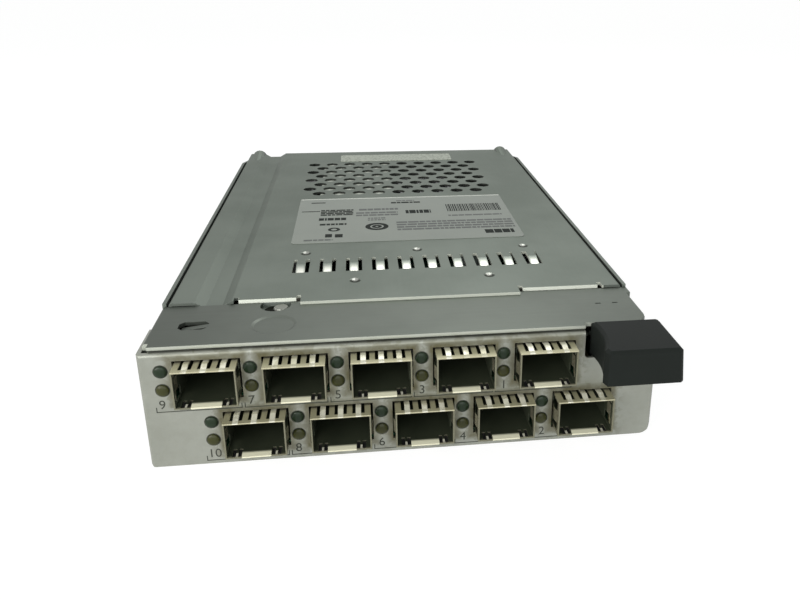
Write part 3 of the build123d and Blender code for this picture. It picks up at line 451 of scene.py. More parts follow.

# %% [markdown]
# The roof has five sprung fingers, and three of them get a painted highlight where they bow out. A noise
# breaks it up and takes some of the shine away. The rest of the roof in front of the faceplate gets a
# warm lighter tone, painted light for its lit top.

# %% Painted highlights on the fingers and painted light on the roof
finger_pitch = 4.26 * MM
finger_half = 0.66 * MM
roof_skin = 0.25 * MM
roof_light_end = 4.9 * MM
off_finger = from_nearest(cage_tree, across, -finger_pitch, finger_pitch, 3)
on_finger = within(cage_tree, off_finger, 0.0, finger_half)
on_roof = calc(cage_tree, "GREATER_THAN", up, cage_half[1] - roof_skin)
highlight_clouds = grouped(cage_metal, grain_across, Fine=300.0, Broad=110.0).outputs["Cloud"]
finger_highlight = times(cage_tree, on_finger, on_roof, ramp(cage_tree, highlight_clouds, 0.3, 0.6, 0.35, 1.0))
roof_light = times(cage_tree, on_roof, calc(cage_tree, "LESS_THAN", behind, roof_light_end))
# Painted light on the roof, then painted highlights on three fingers.
overlay(cage_metal, roof_light, (0.50, 0.475, 0.325), 0.4)
overlay(cage_metal, finger_highlight, (0.86, 0.84, 0.70), 0.25)
set_metal(cage_metal, finger_highlight, 0.3)
print("bright fingers are", round(2 * finger_half / MM, 2), "mm wide")

# %% [markdown]
# The mouth shows a bright tongue of the floor between the two slots, painted light. Behind the mouth's
# edge the inside is nearly black, since little light gets in there and the sheet is dull. Lights alone
# would leave it too bright, because the pale floor and world shine into it, so the inside has a dark
# dull mask of painted shade.

# %% Painted light on the floor tongue and painted shade inside
inside_black = (0.030, 0.036, 0.022)
floor_skin = 1.1 * MM
tongue_half = 3.45 * MM
tongue_length = 0.9 * MM
dark_from = (0.08 * MM, 0.8 * MM)
on_floor = calc(cage_tree, "LESS_THAN", up, floor_skin - cage_half[1])
tongue = times(cage_tree, on_floor, within(cage_tree, across, 0.0, tongue_half))
# The tongue's bright colour is painted light.
overlay(cage_metal, tongue, (0.70, 0.68, 0.52), 0.4)
between_walls = within(cage_tree, across, 0.0, cage_half[0] - 0.17 * MM)
under_roof = within(cage_tree, up, 0.0, cage_half[1] - 0.2 * MM)
past_tongue = calc(cage_tree, "MULTIPLY_ADD", tongue, -tongue_length, behind)
inside = times(cage_tree, between_walls, under_roof, ramp(cage_tree, past_tongue, *dark_from))
# The dark inside is painted shade.
overlay(cage_metal, inside, inside_black, 0.6)
print("the inside is dark from", round(dark_from[1] / MM, 1), "mm behind the mouth")

# %% [markdown]
# Three smaller marks finish the mouth. The cut faces of the slots in the side walls get painted shade,
# since little light reaches them. The thin dividers of the floor slots get painted light. The front rim,
# which the eye meets end on, is duller than the roof above it.

# %% Wall slots, dividers and front rim
wall_inner = 6.75 * MM
rim_depth = 0.05 * MM
faces_along = within(cage_tree, place(cage_tree, "Normal")["X"], 0.0, 0.5)
off_middle = calc(cage_tree, "ABSOLUTE", across)
in_wall = calc(cage_tree, "GREATER_THAN", off_middle, wall_inner)
past_rim = calc(cage_tree, "GREATER_THAN", behind, 0.3 * MM)
# Painted shade on the cut faces of the wall slots.
overlay(cage_metal, times(cage_tree, faces_along, under_roof, past_rim, in_wall), inside_black, 0.6)
by_slots = within(cage_tree, off_middle, 4.65 * MM, 0.3 * MM)
at_mouth = calc(cage_tree, "LESS_THAN", behind, 1.8 * MM)
# Painted light on the dividers.
overlay(cage_metal, times(cage_tree, by_slots, on_floor, at_mouth), (0.62, 0.60, 0.50), 0.4)
end_face = calc(cage_tree, "LESS_THAN", behind, rim_depth)
below_roof = calc(cage_tree, "LESS_THAN", up, cage_half[1] - 0.4 * MM)
rim = times(cage_tree, end_face, below_roof, calc(cage_tree, "SUBTRACT", 1.0, tongue))
overlay(cage_metal, rim, (0.17, 0.165, 0.115), 0.5)
set_metal(cage_metal, calc(cage_tree, "MAXIMUM", tongue, rim), 0.1)
set_metal(cage_metal, inside, 0.0)
print("nodes in the cage finish:", len(cage_tree.nodes))

# %% [markdown]
# ### Painted shade on the bridge's left end
#
# The bridge lies in shade at its left end, so it gets painted shade there over a few centimetres. A second
# material would show a seam, so one soft ramp from left to right darkens the same metal.

# %% Painted shade at the left end
fade_end_x = -20.0 * MM
bridge_tree = bridge_metal.node_tree
left_end_shade = ramp(bridge_tree, place(bridge_tree)["X"], bridge_low[0], fade_end_x, 0.42, 0.0)
# Painted shade, strongest at the left end.
overlay(bridge_metal, left_end_shade, (0.068, 0.076, 0.066))
print("bridge darker over", round((fade_end_x - bridge_low[0]) / MM, 1), "mm")

# %% [markdown]
# ### The cover's contact strips
#
# Ten lanced strips press on the chassis above, and their near slopes get a painted highlight. Each
# could have a material on its own faces, but the cover is one solid. So a mask finds the nearest strip,
# and fades from the foot of the slope to its crest.

# %% Painted highlights on the slopes of the strips
strip_pitch = 7.62 * MM
strip_count = 10
strip_middle_x = 5.95 * MM
strip_first_x = strip_middle_x - (strip_count - 1) / 2 * strip_pitch
strip_foot_y = face_y + 43.2 * MM
strip_slope = 4.6 * MM
strip_half = 1.35 * MM
cover_tree = cover_metal.node_tree
x, y, _ = place(cover_tree)
off_strip = calc(cover_tree, "ABSOLUTE", from_nearest(cover_tree, x, strip_first_x, strip_pitch, strip_count))
on_strip = times(
    cover_tree,
    ramp(cover_tree, off_strip, 0.55 * MM, 1.3 * MM, 1.0, 0.3),
    calc(cover_tree, "LESS_THAN", off_strip, strip_half),
)
along = calc(cover_tree, "SUBTRACT", y, strip_foot_y)
from_foot = ramp(cover_tree, along, -0.1 * MM, 0.1 * MM)
to_crest = ramp(cover_tree, along, 0.0, strip_slope, 1.0, 0.0)
slope_highlight = times(cover_tree, on_strip, from_foot, to_crest)
# A painted highlight on each strip's near slope.
overlay(cover_metal, slope_highlight, (0.80, 0.81, 0.73), 0.3)
print("strips from x", round(strip_first_x / MM, 1), "mm, y", round(strip_foot_y / MM, 1), "mm")

# %% [markdown]
# ### Painted light and shade on the edges of the top sheets
#
# The upright edges of the cut sheets are recoloured. In front of the vents the cover's edge is grey, and
# gets a painted highlight in its upper part between the two corner tabs. In the vents it gets painted
# shade, since little light comes there. The bridge's rolled lip gets a painted highlight, a bright line.
# The mask picks faces that stand upright.

# %% Recolour the upright edges
def cut_edges(material, floor_z, color, left_x, stop_y):
    """Recolours a sheet's upright faces above a height, right of one place and in front of another."""
    tree = material.node_tree
    x, y, z = place(tree)
    upright = ramp(tree, calc(tree, "ABSOLUTE", place(tree, "Normal")["Z"]), 0.55, 0.75, 1.0, 0.0)
    above = calc(tree, "GREATER_THAN", z, floor_z)
    in_front = calc(tree, "LESS_THAN", y, stop_y)
    rightward = calc(tree, "GREATER_THAN", x, left_x)
    edge_paint = times(tree, upright, above, in_front, rightward)
    overlay(material, edge_paint, color, 0.35)
    set_metal(material, edge_paint, 0.3)


edge_shade = (0.035, 0.038, 0.034)
edge_grey = (0.13, 0.145, 0.13)
edge_highlight = (0.60, 0.62, 0.55)
cover_edge_z = bridge_low[2] + 0.8 * MM
upper_edge_z = bridge_high[2] - 0.15 * MM
front_end_y = face_y + 60.0 * MM
left_tab_x = -43.2 * MM
right_tab_x = 55.6 * MM
lip_end_y = face_y + 3.0 * MM
# Painted shade in the vents, grey in front of them, and a painted highlight between the tabs.
cut_edges(cover_metal, cover_edge_z, edge_shade, cover_low[0], cover_high[1])
cut_edges(cover_metal, cover_edge_z, edge_grey, cover_low[0], front_end_y)
cut_edges(cover_metal, upper_edge_z, edge_highlight, left_tab_x, front_end_y)
cut_edges(cover_metal, cover_edge_z, edge_grey, right_tab_x, front_end_y)
# A painted highlight on the bridge's rolled lip.
cut_edges(bridge_metal, bridge_high[2] - 1.6 * MM, (0.40, 0.42, 0.37), bridge_low[0], lip_end_y)
print("bright edge from x", round(left_tab_x / MM, 1), "to", round(right_tab_x / MM, 1), "mm")


# %% [markdown]
# ### Painted shade and highlights on the latch and the dimples
#
# The hole round the latch dome at the front left gets a dark disc of painted shade, and the dome a
# smaller painted highlight. The five dimples are pressed in, so their near side turns from the light and
# their far side catches it. The CAD dimples have few flats, and a soft dark disc of painted shade with a
# small painted highlight over it gives them their roundness back.

# %% Soft discs on the cover
def disc(tree, x, depth, radius):
    """1 within a radius of an upright axis at x and at a depth behind the faceplate, with a soft edge."""
    blur = 0.15 * MM
    point_x, point_y, _ = place(tree)
    dx = calc(tree, "SUBTRACT", point_x, x)
    dy = calc(tree, "SUBTRACT", point_y, face_y + depth)
    squares = calc(tree, "ADD", calc(tree, "MULTIPLY", dx, dx), calc(tree, "MULTIPLY", dy, dy))
    return ramp(tree, calc(tree, "SQRT", squares), radius - blur, radius + blur, 1.0, 0.0)


# Painted shade in the latch hole, and a painted highlight on the dome.
overlay(cover_metal, disc(cover_tree, -33.8 * MM, 21.6 * MM, 2.5 * MM), (0.014, 0.015, 0.012), 0.5)
overlay(cover_metal, disc(cover_tree, -31.9 * MM, 21.8 * MM, 1.9 * MM), (0.28, 0.29, 0.26), 0.35)
dimples = ((-27.6, 60.0), (6.3, 60.0), (39.8, 60.0), (-12.8, 36.0), (25.2, 36.0))
for x, depth in dimples:
    near_shade = disc(cover_tree, x * MM, (depth - 0.7) * MM, 1.5 * MM)
    far_highlight = disc(cover_tree, x * MM, (depth + 0.5) * MM, 0.95 * MM)
    # Painted shade on the near side of each dimple, and a painted highlight on the far side.
    overlay(cover_metal, near_shade, (0.055, 0.062, 0.052))
    overlay(cover_metal, far_highlight, (0.32, 0.33, 0.30), 0.3)
print("dimples:", len(dimples))


# %% [markdown]
# ## Plastics, films and boards
#
# Mouldings, films and inks are all dull and slightly uneven. One recipe makes them: two close shades by
# the slow mask, a faint mottled bump, and soft edges. A wide bevel suits the thick grip, and a very
# narrow one suits ink.

# %% Make a moulding or a film
def moulded(name, dark, light, roughness, bump=0.2, scale=1500.0, edge=0.15 * MM, **sockets):
    """Plastic, film or ink with a faint grain and softly rounded edges."""
    material, shader = new_material(name, light, roughness=roughness, **sockets)
    tree = material.node_tree
    masks = grouped(material, mottle, Scale=scale)
    two_shades(tree, shader, masks.outputs["Slow"], dark, light)
    soft_surface(tree, shader, masks.outputs["Height"], bump, 0.03 * MM, edge)
    return material


black_moulding = moulded(
    "black_moulding", (0.009, 0.011, 0.010), (0.013, 0.016, 0.014), 0.6, bump=0.3, edge=0.5 * MM,
    Specular_IOR_Level=0.1,
)
board_laminate = moulded("board_laminate", (0.01, 0.06, 0.03), (0.015, 0.085, 0.042), 0.35, bump=0.05)
black_resin = moulded("black_resin", (0.012, 0.012, 0.013), (0.02, 0.02, 0.021), 0.5)
chip_package = moulded("chip_package", (0.02, 0.02, 0.021), (0.03, 0.03, 0.032), 0.55)
connector_housing = moulded("connector_housing", (0.05, 0.05, 0.053), (0.075, 0.075, 0.08), 0.45)
print("materials so far:", len(bpy.data.materials))

# %% [markdown]
# The two labels are films stuck on the cover. The big one is grey, and its far edge gets a bright band,
# a painted highlight. The narrow one is paler and speckled. The edge could be bent up in the CAD, but the
# film is only a hair thick, so the painted band does it.

# %% Label films
label_film = moulded(
    "label_film", (0.20, 0.222, 0.197), (0.24, 0.262, 0.228), 0.45, bump=0.05, Specular_IOR_Level=0.3,
)
rear_label_film = moulded(
    "strip_film", (0.32, 0.35, 0.29), (0.40, 0.43, 0.36), 0.45, bump=0.05, Specular_IOR_Level=0.3,
)
highlight_band = 0.9 * MM
label_tree = label_film.node_tree
far_edge_highlight = calc(label_tree, "GREATER_THAN", place(label_tree)["Y"], label_high[1] - highlight_band)
# A painted highlight along the label's far edge.
overlay(label_film, far_edge_highlight, (0.62, 0.65, 0.59))
overlay(rear_label_film, grouped(rear_label_film, mottle).outputs["Specks"], (0.17, 0.19, 0.15))
print("label", [round((b - a) / MM, 1) for a, b in zip(label_low, label_high)], "mm")

# %% [markdown]
# Light pipes bring the light of small lamps on the boards to the front. With the lamps off they look
# nearly black, the upper one of each pair a little green and the lower one olive. Clear plastic would
# show only the dark case behind it, so a dark glossy plastic is enough.

# %% Light pipes, switched off
link_lens = moulded(
    "link_lens", (0.007, 0.016, 0.006), (0.012, 0.025, 0.010), 0.3, bump=0.0, Specular_IOR_Level=0.25,
)
activity_lens = moulded(
    "activity_lens", (0.028, 0.030, 0.006), (0.040, 0.042, 0.010), 0.3, bump=0.0, Specular_IOR_Level=0.25,
)
print("lens finishes:", link_lens.name, activity_lens.name)

# %% [markdown]
# ## Dressing the CAD nodes
#
# The record says which material slot each node has, so one table dresses them all. The bridge and the
# cover have their own versions of the plated sheet: the bridge was rolled the other way and is a darker
# copy, painted shade, and the cover carries painted highlights on its strips.

# %% Give each node its finish
by_slot = {
    "plated_sheet": plated,
    "face_sheet": faced,
    "cage_metal": cage_metal,
    "label_film": label_film,
    "strip_film": rear_label_film,
    "black_moulding": black_moulding,
    "link_lens": link_lens,
    "activity_lens": activity_lens,
    "board_laminate": board_laminate,
    "black_resin": black_resin,
    "chip_package": chip_package,
    "connector_housing": connector_housing,
    "bare_aluminium": aluminium,
    "fastener_steel": steel,
}
by_node = {"front_bridge": bridge_metal, "top_cover": cover_metal}
for entry in frame["record"]["subparts"]:
    piece = nodes[entry["node"]]
    finish = by_node.get(entry["node"], by_slot[entry["material_slot"]])
    for slot in piece.material_slots:
        slot.material = finish


# %% [markdown]
# ## Helpers for added pieces
#
# Print, gaskets and contacts are boxes and rings. A primitive for each would fill the scene with
# hundreds of objects, so a bmesh gathers them and each kind becomes one piece.

# %% Boxes and rings
def add_box(work, low, high):
    """A box between two corners, added to a bmesh."""
    middle = [(a + b) / 2 for a, b in zip(low, high)]
    size = [b - a for a, b in zip(low, high)]
    made = bmesh.ops.create_cube(work, size=1.0)
    bmesh.ops.scale(work, vec=size, verts=made["verts"])
    bmesh.ops.translate(work, vec=middle, verts=made["verts"])


def add_ring(work, centre, outer, inner, normal, thickness=0.02 * MM, segments=32):
    """A flat ring round an axis that leaves the surface at centre along normal."""
    turn_to = Vector((0, 0, 1)).rotation_difference(Vector(normal))
    loops = []
    for radius, z in ((outer, 0), (outer, thickness), (inner, thickness), (inner, 0)):
        loop = []
        for i in range(segments):
            turn = 2 * math.pi * i / segments
            offset = turn_to @ Vector((radius * math.cos(turn), radius * math.sin(turn), z))
            loop.append(work.verts.new(Vector(centre) + offset))
        loops.append(loop)
    for k in range(4):
        a = loops[k]
        b = loops[(k + 1) % 4]
        for i in range(segments):
            j = (i + 1) % segments
            work.faces.new((a[i], a[j], b[j], b[i]))


# %% [markdown]
# A gathered shape still has to become a mesh with its faces turned out, and to ride on a body of the
# CAD, or it would stay behind when the module moves. `attach` puts it on the module's body and gives it
# its finish.

# %% Meshes and pieces
def finish_mesh(work, name, smooth=False):
    """A mesh from a bmesh, its normals facing out."""
    bmesh.ops.recalc_face_normals(work, faces=work.faces)
    mesh = bpy.data.meshes.new(name)
    work.to_mesh(mesh)
    work.free()
    for face in mesh.polygons:
        face.use_smooth = smooth
    return mesh


def attach(data, name, finish, spot=(0.0, 0.0, 0.0), turn=(0.0, 0.0, 0.0)):
    """An object for a mesh or a text, which rides on the module."""
    piece = bpy.data.objects.new(name, data)
    bpy.context.scene.collection.objects.link(piece)
    piece.location = spot
    piece.rotation_euler = turn
    piece.data.materials.append(finish)
    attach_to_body(piece, "module")


def attach_mesh(work, name, finish, smooth=False):
    """The same for what a bmesh has gathered."""
    mesh = finish_mesh(work, name, smooth)
    attach(mesh, name, finish)
    print(name, "has", len(mesh.polygons), "faces")


print("every added piece rides on the module, and none on the lever")

# %% [markdown]
# ## Print on the faceplate
#
# Numbers and brackets are screen printed. A picture could carry them, but it would need a map of the
# whole sheet, and its edges would blur from near. So each is a real shape as thin as ink. The inks are
# a little uneven, as the films are.

# %% Inks
ink_edge = 0.004 * MM
# This ink draws print, and also painted shade: the rings round the lens holes and the screw recesses.
print_and_shade_ink = moulded(
    "faceplate_print_and_shade", (0.034, 0.037, 0.029), (0.048, 0.051, 0.041), 0.6, bump=0.04, edge=ink_edge,
    Specular_IOR_Level=0.2,
)
dark_ink = moulded(
    "dark_ink", (0.011, 0.014, 0.012), (0.018, 0.022, 0.019), 0.7, bump=0.04, edge=ink_edge,
    Specular_IOR_Level=0.08,
)
grey_ink = moulded(
    "grey_ink", (0.075, 0.083, 0.078), (0.096, 0.105, 0.099), 0.5, bump=0.04, edge=ink_edge,
    Specular_IOR_Level=0.2,
)
# The pale ink draws only the painted highlight line on the label's far edge.
highlight_ink = moulded("highlight_ink", (0.57, 0.59, 0.53), (0.66, 0.68, 0.62), 0.45, bump=0.04, edge=ink_edge)
print("inks:", [material.name for material in (print_and_shade_ink, dark_ink, grey_ink, highlight_ink)])

# %% [markdown]
# A thin line with two upturned ends ties each pair of light pipes to its port. It runs at the same
# place under every port, so one loop draws all ten.

# %% Brackets
print_thickness = 0.02 * MM
print_back_y = face_y - print_thickness
bracket_drop = 8.1 * MM
bracket_left = 12.55 * MM
bracket_right = 7.25 * MM
tick = 1.4 * MM
line = 0.22 * MM
work = bmesh.new()
for x, z in port_centre.values():
    base = z - bracket_drop
    add_box(work, (x - bracket_left, print_back_y, base), (x + bracket_right, face_y, base + line))
    for end_x in (x - bracket_left, x + bracket_right - line):
        add_box(work, (end_x, print_back_y, base), (end_x + line, face_y, base + tick))
attach_mesh(work, "port_brackets", print_and_shade_ink)

# %% [markdown]
# The numbers 1 to 10 stand under the light pipes. A text curve makes clean shapes with a thickness, so
# nothing is drawn by hand. In the photograph they stand a little farther apart than the ports do, and
# the spread repeats that.

# %% Port numbers
digit_size = 3.3 * MM
digit_drop = 7.15 * MM
digit_left = 10.6 * MM
two_digits_left = 10.2 * MM
spread = 1.0085
for number, (x, z) in port_centre.items():
    digits = bpy.data.curves.new(f"port_number_{number}", "FONT")
    digits.body = str(number)
    digits.align_x = "CENTER"
    digits.size = digit_size
    digits.extrude = print_thickness / 2
    left = digit_left if number < 10 else two_digits_left
    spot = (spread * x - left, face_y - print_thickness / 2, z - digit_drop)
    attach(digits, f"port_number_{number}", print_and_shade_ink, spot, (math.pi / 2, 0, 0))
print("numbers:", [str(number) for number in port_centre])

# %% [markdown]
# ## Print on the labels
#
# The rating label carries only plain fields and no letters. Places are shares of the label's width and
# length, so the print follows the label's size. A seeded generator varies the bars' lengths. It is
# drawn from in a fixed order, so the print comes out the same each time.

# %% Bars and rows
draw = random.Random(7)
label_top = label_high[2]
label_size = (label_high[0] - label_low[0], label_high[1] - label_low[1])


def on_label(across, up):
    """The place on the label at those shares of its width and length."""
    return label_low[0] + across * label_size[0], label_low[1] + up * label_size[1]


def add_field(work, left, right, low, high):
    """One plain bar on the label."""
    add_box(work, (*on_label(left, low), label_top), (*on_label(right, high), label_top + print_thickness))


def add_rows(work, left, right, low, high, rows, fill=0.55, longest=0.05):
    """Rows of broken bars, like lines of small print seen from afar."""
    gap = 0.004
    pitch = (high - low) / rows
    for row in range(rows):
        base = low + row * pitch
        across = left
        while across < right:
            stop = min(across + draw.uniform(0.25, 1.0) * longest, right)
            add_field(work, across, stop, base, base + pitch * fill)
            across = stop + gap


dark_print = bmesh.new()
grey_print = bmesh.new()
print("label print on", [round(side / MM, 1) for side in label_size], "mm")

# %% [markdown]
# The upper half has short blocks of small print, some darker than others. Real lettering would be too
# small to read here, and rows of broken bars give the same grey.

# %% Upper blocks
add_field(dark_print, 0.055, 0.123, 0.886, 0.905)
add_rows(dark_print, 0.442, 0.585, 0.836, 0.868, 1, 1.0)
add_rows(grey_print, 0.469, 0.558, 0.890, 0.912, 1, 1.0)
add_field(dark_print, 0.017, 0.102, 0.675, 0.689)
add_rows(dark_print, 0.107, 0.259, 0.577, 0.722, 4, 0.72)
add_rows(grey_print, 0.285, 0.471, 0.676, 0.728, 1, 0.8)
add_rows(grey_print, 0.271, 0.467, 0.545, 0.655, 2, 0.6)
add_rows(dark_print, 0.505, 0.625, 0.578, 0.655, 1, 1.0, 0.03)
print("shapes in the dark print:", len(dark_print.faces) // 6)

# %% [markdown]
# At the upper right stand upright stripes of three widths. They only have to look like such a field,
# and they encode nothing: the generator picks each width and each gap.

# %% Upright stripes
stripes_end = 0.968
across = 0.705
while across < stripes_end:
    width = draw.choice((0.0022, 0.004, 0.0058))
    add_field(dark_print, across, across + width, 0.60, 0.775)
    across += width + draw.choice((0.0028, 0.0045))
print("shapes with the stripes:", len(dark_print.faces) // 6)

# %% [markdown]
# The lower half has a long block of grey rows, a few dark blocks and three rings. The rings have the
# helper's flat shape, laid on the film.

# %% Lower blocks and rings
add_rows(grey_print, 0.701, 0.956, 0.487, 0.515, 1, 1.0)
add_rows(dark_print, 0.102, 0.225, 0.464, 0.525, 1, 0.9, 0.03)
add_rows(dark_print, 0.109, 0.230, 0.357, 0.397, 1, 0.9, 0.03)
add_rows(grey_print, 0.325, 0.405, 0.435, 0.515, 2, 0.6, 0.03)
add_field(dark_print, 0.138, 0.167, 0.105, 0.170)
add_field(dark_print, 0.180, 0.213, 0.098, 0.163)
add_rows(grey_print, 0.050, 0.171, 0.043, 0.070, 1, 1.0)
add_rows(grey_print, 0.453, 0.985, 0.205, 0.412, 4, 0.62)
add_rows(dark_print, 0.838, 0.968, 0.090, 0.165, 1, 1.0, 0.04)
label_rings = ((0.3635, 0.300, 3.9, 2.3), (0.3635, 0.300, 1.7, 0.5), (0.174, 0.262, 2.0, 1.0))
for across, up, outer, inner in label_rings:
    add_ring(dark_print, (*on_label(across, up), label_top), outer * MM, inner * MM, (0, 0, 1))
attach_mesh(dark_print, "label_dark_print", dark_ink)
attach_mesh(grey_print, "label_grey_print", grey_ink)

# %% [markdown]
# A pale line along the label's far edge is a painted highlight, and makes the bright band crisp there.

# %% Painted highlight line at the far edge
work = bmesh.new()
add_field(work, 0.002, 0.998, 0.984, 0.998)
attach_mesh(work, "label_edge_highlight", highlight_ink)

# %% [markdown]
# ## Lens caps
#
# A light pipe ends in a slightly domed face. A sphere pressed flat gives that dome, and half of it is
# hidden in the pipe. A thin dark ring on the faceplate round the hole is painted shade for the gap.

# %% Domes and rings of painted shade
pipe_left = 10.5 * MM
pipe_up = {"link_light_pipes": 2.7 * MM, "activity_light_pipes": -2.2 * MM}
cap_radius = 1.5 * MM
cap_rise = 0.5 * MM
gap_shades = bmesh.new()
for node, finish in (("link_light_pipes", link_lens), ("activity_light_pipes", activity_lens)):
    pipe_end_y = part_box(node)[0][1]
    work = bmesh.new()
    for x, z in port_centre.values():
        pipe_x = x - pipe_left
        pipe_z = z + pipe_up[node]
        dome = bmesh.ops.create_uvsphere(work, u_segments=24, v_segments=12, radius=cap_radius)
        bmesh.ops.scale(work, vec=(1.0, cap_rise / cap_radius, 1.0), verts=dome["verts"])
        bmesh.ops.translate(work, vec=(pipe_x, pipe_end_y, pipe_z), verts=dome["verts"])
        # A ring of painted shade round each lens hole.
        add_ring(gap_shades, (pipe_x, face_y, pipe_z), 1.72 * MM, 1.46 * MM, (0, -1, 0))
    attach_mesh(work, node + "_caps", finish, smooth=True)
attach_mesh(gap_shades, "lens_gap_shades", print_and_shade_ink)

# %% [markdown]
# ## Small parts
#
# A black strip under each floor slot of a cage in front of the faceplate is painted shade, so the slots
# look dark from above. They are plain pads, and two boxes for each cage are enough.

# %% Painted shade under the cage slots
slot_shade_reach = (3.3 * MM, 6.0 * MM)
slot_shade_front_y = cage_mouth_y + 0.4 * MM
slot_shade_back_y = face_y - 0.1 * MM
work = bmesh.new()
# Two black pads of painted shade under each cage's floor slots.
for x, z in port_centre.values():
    cage_floor = z - cage_half[1]
    for side in (-1, 1):
        left, right = sorted((x + side * slot_shade_reach[0], x + side * slot_shade_reach[1]))
        low = (left, slot_shade_front_y, cage_floor - 0.3 * MM)
        add_box(work, low, (right, slot_shade_back_y, cage_floor - 0.02 * MM))
attach_mesh(work, "cage_slot_shades", black_resin)

# %% [markdown]
# It is light behind the left vents and dark behind the others. What lies there can't be told, so a
# thin pale film under the left part of the vents is painted light for it. A lamp inside would light
# the whole case.

# %% Painted light: a pale film under the left vents
cover_under = label_low[2] - 0.8 * MM
film_left_x = -26.0 * MM
film_right_x = 1.5 * MM
film_margin = 2.0 * MM
painted_light_film = moulded("painted_light_film", (0.60, 0.63, 0.56), (0.74, 0.77, 0.69), 0.5, bump=0.1)
work = bmesh.new()
# A pale film of painted light under the left vents.
add_box(
    work,
    (film_left_x, label_high[1] + film_margin, cover_under - 0.25 * MM),
    (film_right_x, rear_label_low[1] - film_margin, cover_under - 0.05 * MM),
)
attach_mesh(work, "vent_painted_light", painted_light_film)

# %% [markdown]
# The connectors at the rear have gilt blades in their slots. The CAD has the housings with their slots
# only, since the blades are thin and many. Here each slot gets three flat blades, set back from its
# mouth.

# %% Contact blades at the rear
housing_rim = 3.0 * MM
blade_half_z = 0.25 * MM
blade_depths = (4.9 * MM, 1.5 * MM)
work = bmesh.new()
for node, columns in (("signal_connector_left", 6), ("signal_connector_right", 6), ("power_connector", 2)):
    low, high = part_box(node)
    pitch_x = (high[0] - low[0] - housing_rim) / columns
    pitch_z = (high[2] - low[2]) / 2
    reach = (pitch_x - 2.6 * MM) / 2
    inner_y, outer_y = (high[1] - depth for depth in blade_depths)
    for column in range(columns):
        for row in range(2):
            x = (low[0] + high[0]) / 2 + (column - (columns - 1) / 2) * pitch_x
            z = (low[2] + high[2]) / 2 + (row - 0.5) * pitch_z
            for step in (-1, 0, 1):
                base = z + step * (pitch_z - housing_rim) / 3
                blade_low = (x - reach, inner_y, base - blade_half_z)
                add_box(work, blade_low, (x + reach, outer_y, base + blade_half_z))
attach_mesh(work, "rear_contacts", gold)

# %% [markdown]
# The two screws that hold the cover through the side walls have a cross recess. Cutting it into the CAD
# head would cost faces on a screw a few pixels wide, so two dark bars of painted shade lie on each head.

# %% Cross recesses of the cover screws
screw_low, screw_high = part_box("cover_screws")
screw_y = (screw_low[1] + screw_high[1]) / 2
screw_z = (screw_low[2] + screw_high[2]) / 2
bar_long = 1.2 * MM
bar_thin = 0.25 * MM
work = bmesh.new()
for side, head in ((-1, screw_low[0]), (1, screw_high[0])):
    near, far = sorted((head - side * 0.01 * MM, head + side * 0.03 * MM))
    for half_y, half_z in ((bar_long, bar_thin), (bar_thin, bar_long)):
        add_box(work, (near, screw_y - half_y, screw_z - half_z), (far, screw_y + half_y, screw_z + half_z))
# Dark bars of painted shade for the cross recesses.
attach_mesh(work, "screw_recesses", print_and_shade_ink)

# %% [markdown]
# The faceplate's flanges and the lever's bracket are spot-welded to the walls, and each weld leaves a
# faint ring on the outside. A mask on the wall could draw it, but these few rings are quicker as thin
# shapes, and they show where the welds are.

# %% Weld marks on the walls
weld_mark = metal(
    "weld_mark", (0.145, 0.14, 0.12), (0.175, 0.17, 0.15), grain_along, (0.44, 0.56), 0.6, edge=ink_edge,
)
weld_outer = 1.7 * MM
weld_inner = 1.3 * MM
welds = [
    (side, flange_x, 8.0 * MM, z * MM)
    for side, flange_x in ((-1, face_low[0]), (1, face_high[0]))
    for z in (8.0, 19.0)
]
welds += [(1, tray_high[0], depth * MM, 18.5 * MM) for depth in (27.0, 35.0)]
work = bmesh.new()
for side, wall_x, depth, z in welds:
    add_ring(work, (wall_x, face_y + depth, z), weld_outer, weld_inner, (side, 0, 0))
attach_mesh(work, "weld_marks", weld_mark)


# %% [markdown]
# ## Floor
#
# The photograph has a plain white ground with hardly a shadow. A white floor under strong lamps would
# throw light up into the ports. So the floor glows white for what sees it directly, and stays a dull
# floor for the light that it sends back. A faint shadow is left in the dull share.

# %% White floor
def seen_directly(tree):
    """A mask for camera, glossy and transmission rays."""
    ray = new_node(tree, "ShaderNodeLightPath")
    seen = calc(tree, "MAXIMUM", ray.outputs["Is Camera Ray"], ray.outputs["Is Glossy Ray"])
    return calc(tree, "MAXIMUM", seen, ray.outputs["Is Transmission Ray"])


def share_out(tree, mask, below, above, output):
    """The surface of an output goes from one shader to another with a mask."""
    share = new_node(tree, "ShaderNodeMixShader")
    tree.links.new(mask, share.inputs["Fac"])
    tree.links.new(below, share.inputs[1])
    tree.links.new(above, share.inputs[2])
    tree.links.new(share.outputs["Shader"], output.inputs["Surface"])


glow_share = 0.82
floor_half = 6.0
floor_material, dull_floor = new_material("floor", (0.9, 0.9, 0.9), roughness=0.8)
tree = floor_material.node_tree
glow = new_node(tree, "ShaderNodeEmission", Strength=1.1)
glowing = times(tree, seen_directly(tree), glow_share)
share_out(tree, glowing, dull_floor.outputs["BSDF"], glow.outputs["Emission"], tree.nodes["Material Output"])
work = bmesh.new()
bmesh.ops.create_grid(work, x_segments=1, y_segments=1, size=floor_half)
floor = bpy.data.objects.new("floor", finish_mesh(work, "floor"))
bpy.context.scene.collection.objects.link(floor)
floor.data.materials.append(floor_material)
print("floor", 2 * floor_half, "m wide")

# %% [markdown]
# ## World
#
# The world does the same: white where it is seen, and a soft grey with a trace of green where it lights
# the object. A picture of a studio would bring its own colours, and a plain grey is easy to steer.

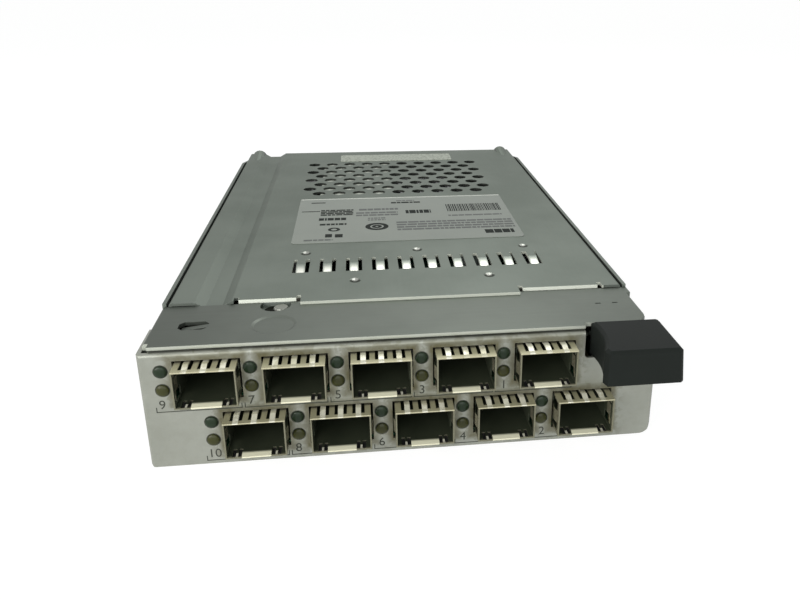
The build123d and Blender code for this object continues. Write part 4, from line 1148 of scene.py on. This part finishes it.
# %% Soft grey room
world = bpy.data.worlds.new("studio")
world.use_nodes = True
bpy.context.scene.world = world
tree = world.node_tree
tree.nodes.clear()
room = new_node(tree, "ShaderNodeBackground", Color=(0.96, 1.0, 0.97, 1.0), Strength=0.5)
backdrop = new_node(tree, "ShaderNodeBackground", Color=(1.0, 1.0, 1.0, 1.0), Strength=1.0)
output = new_node(tree, "ShaderNodeOutputWorld")
share_out(tree, seen_directly(tree), room.outputs["Background"], backdrop.outputs["Background"], output)
print("room light", room.inputs["Strength"].default_value)


# %% [markdown]
# ## Lights
#
# The photograph has soft light from the front, a little warmth from the left, and a pale sheen on the
# top from behind. Point lamps would give hard shadows, so three square softboxes do it.

# %% Three softboxes
def softbox(name, spot, aim, size, watts, color=(1.0, 1.0, 1.0)):
    """A square area light at spot, turned to face aim."""
    light = bpy.data.lights.new(name, "AREA")
    light.shape = "SQUARE"
    light.size = size
    light.energy = watts
    light.color = color
    lamp = bpy.data.objects.new(name, light)
    lamp.location = spot
    lamp.rotation_euler = (Vector(aim) - Vector(spot)).to_track_quat("-Z", "Y").to_euler()
    bpy.context.scene.collection.objects.link(lamp)


front_of_module = (0.0, -0.1, 0.02)
top_of_module = (0.0, -0.05, 0.03)
softbox("front", (-0.1, -1.2, 0.35), front_of_module, 1.0, 6.0, (0.96, 1.0, 0.98))
softbox("left", (-0.4, -0.45, 0.2), front_of_module, 0.3, 2.2, (1.0, 0.97, 0.94))
softbox("back", (0.14, 0.6, 0.75), top_of_module, 0.3, 1.3)

# %% [markdown]
# ## Camera
#
# A camera set by eye would never lay the render over the photograph. This one was fitted to the port
# mouths, the faceplate's corners and the label's corners. Its centre of view isn't the photograph's
# middle, so the lens is shifted.

# %% Fitted camera
photo_size = (800, 600)
focal_pixels = 791.85
view_centre = (477.78, 259.84)
yaw = math.radians(8.56)
pitch = math.radians(20.24)
roll = math.radians(0.8)
camera_spot = (-9.56 * MM, -272.75 * MM, 115.07 * MM)
camera_data = bpy.data.cameras.new("camera")
camera_data.sensor_width = 36.0
camera_data.lens = focal_pixels * camera_data.sensor_width / photo_size[0]
camera_data.shift_x = (photo_size[0] / 2 - view_centre[0]) / photo_size[0]
camera_data.shift_y = (view_centre[1] - photo_size[1] / 2) / photo_size[0]
camera_data.clip_start = 0.01
forward = Vector((math.sin(yaw) * math.cos(pitch), math.cos(yaw) * math.cos(pitch), -math.sin(pitch)))
camera = bpy.data.objects.new("camera", camera_data)
camera.location = camera_spot
camera.rotation_euler = forward.to_track_quat("-Z", "Y").to_euler()
camera.rotation_euler.rotate_axis("Z", roll)
bpy.context.scene.collection.objects.link(camera)
bpy.context.scene.camera = camera
bpy.context.scene.view_settings.view_transform = "Standard"
shifts = [round(shift, 4) for shift in (camera_data.shift_x, camera_data.shift_y)]
print("lens", round(camera_data.lens, 2), "mm, shifts", shifts)
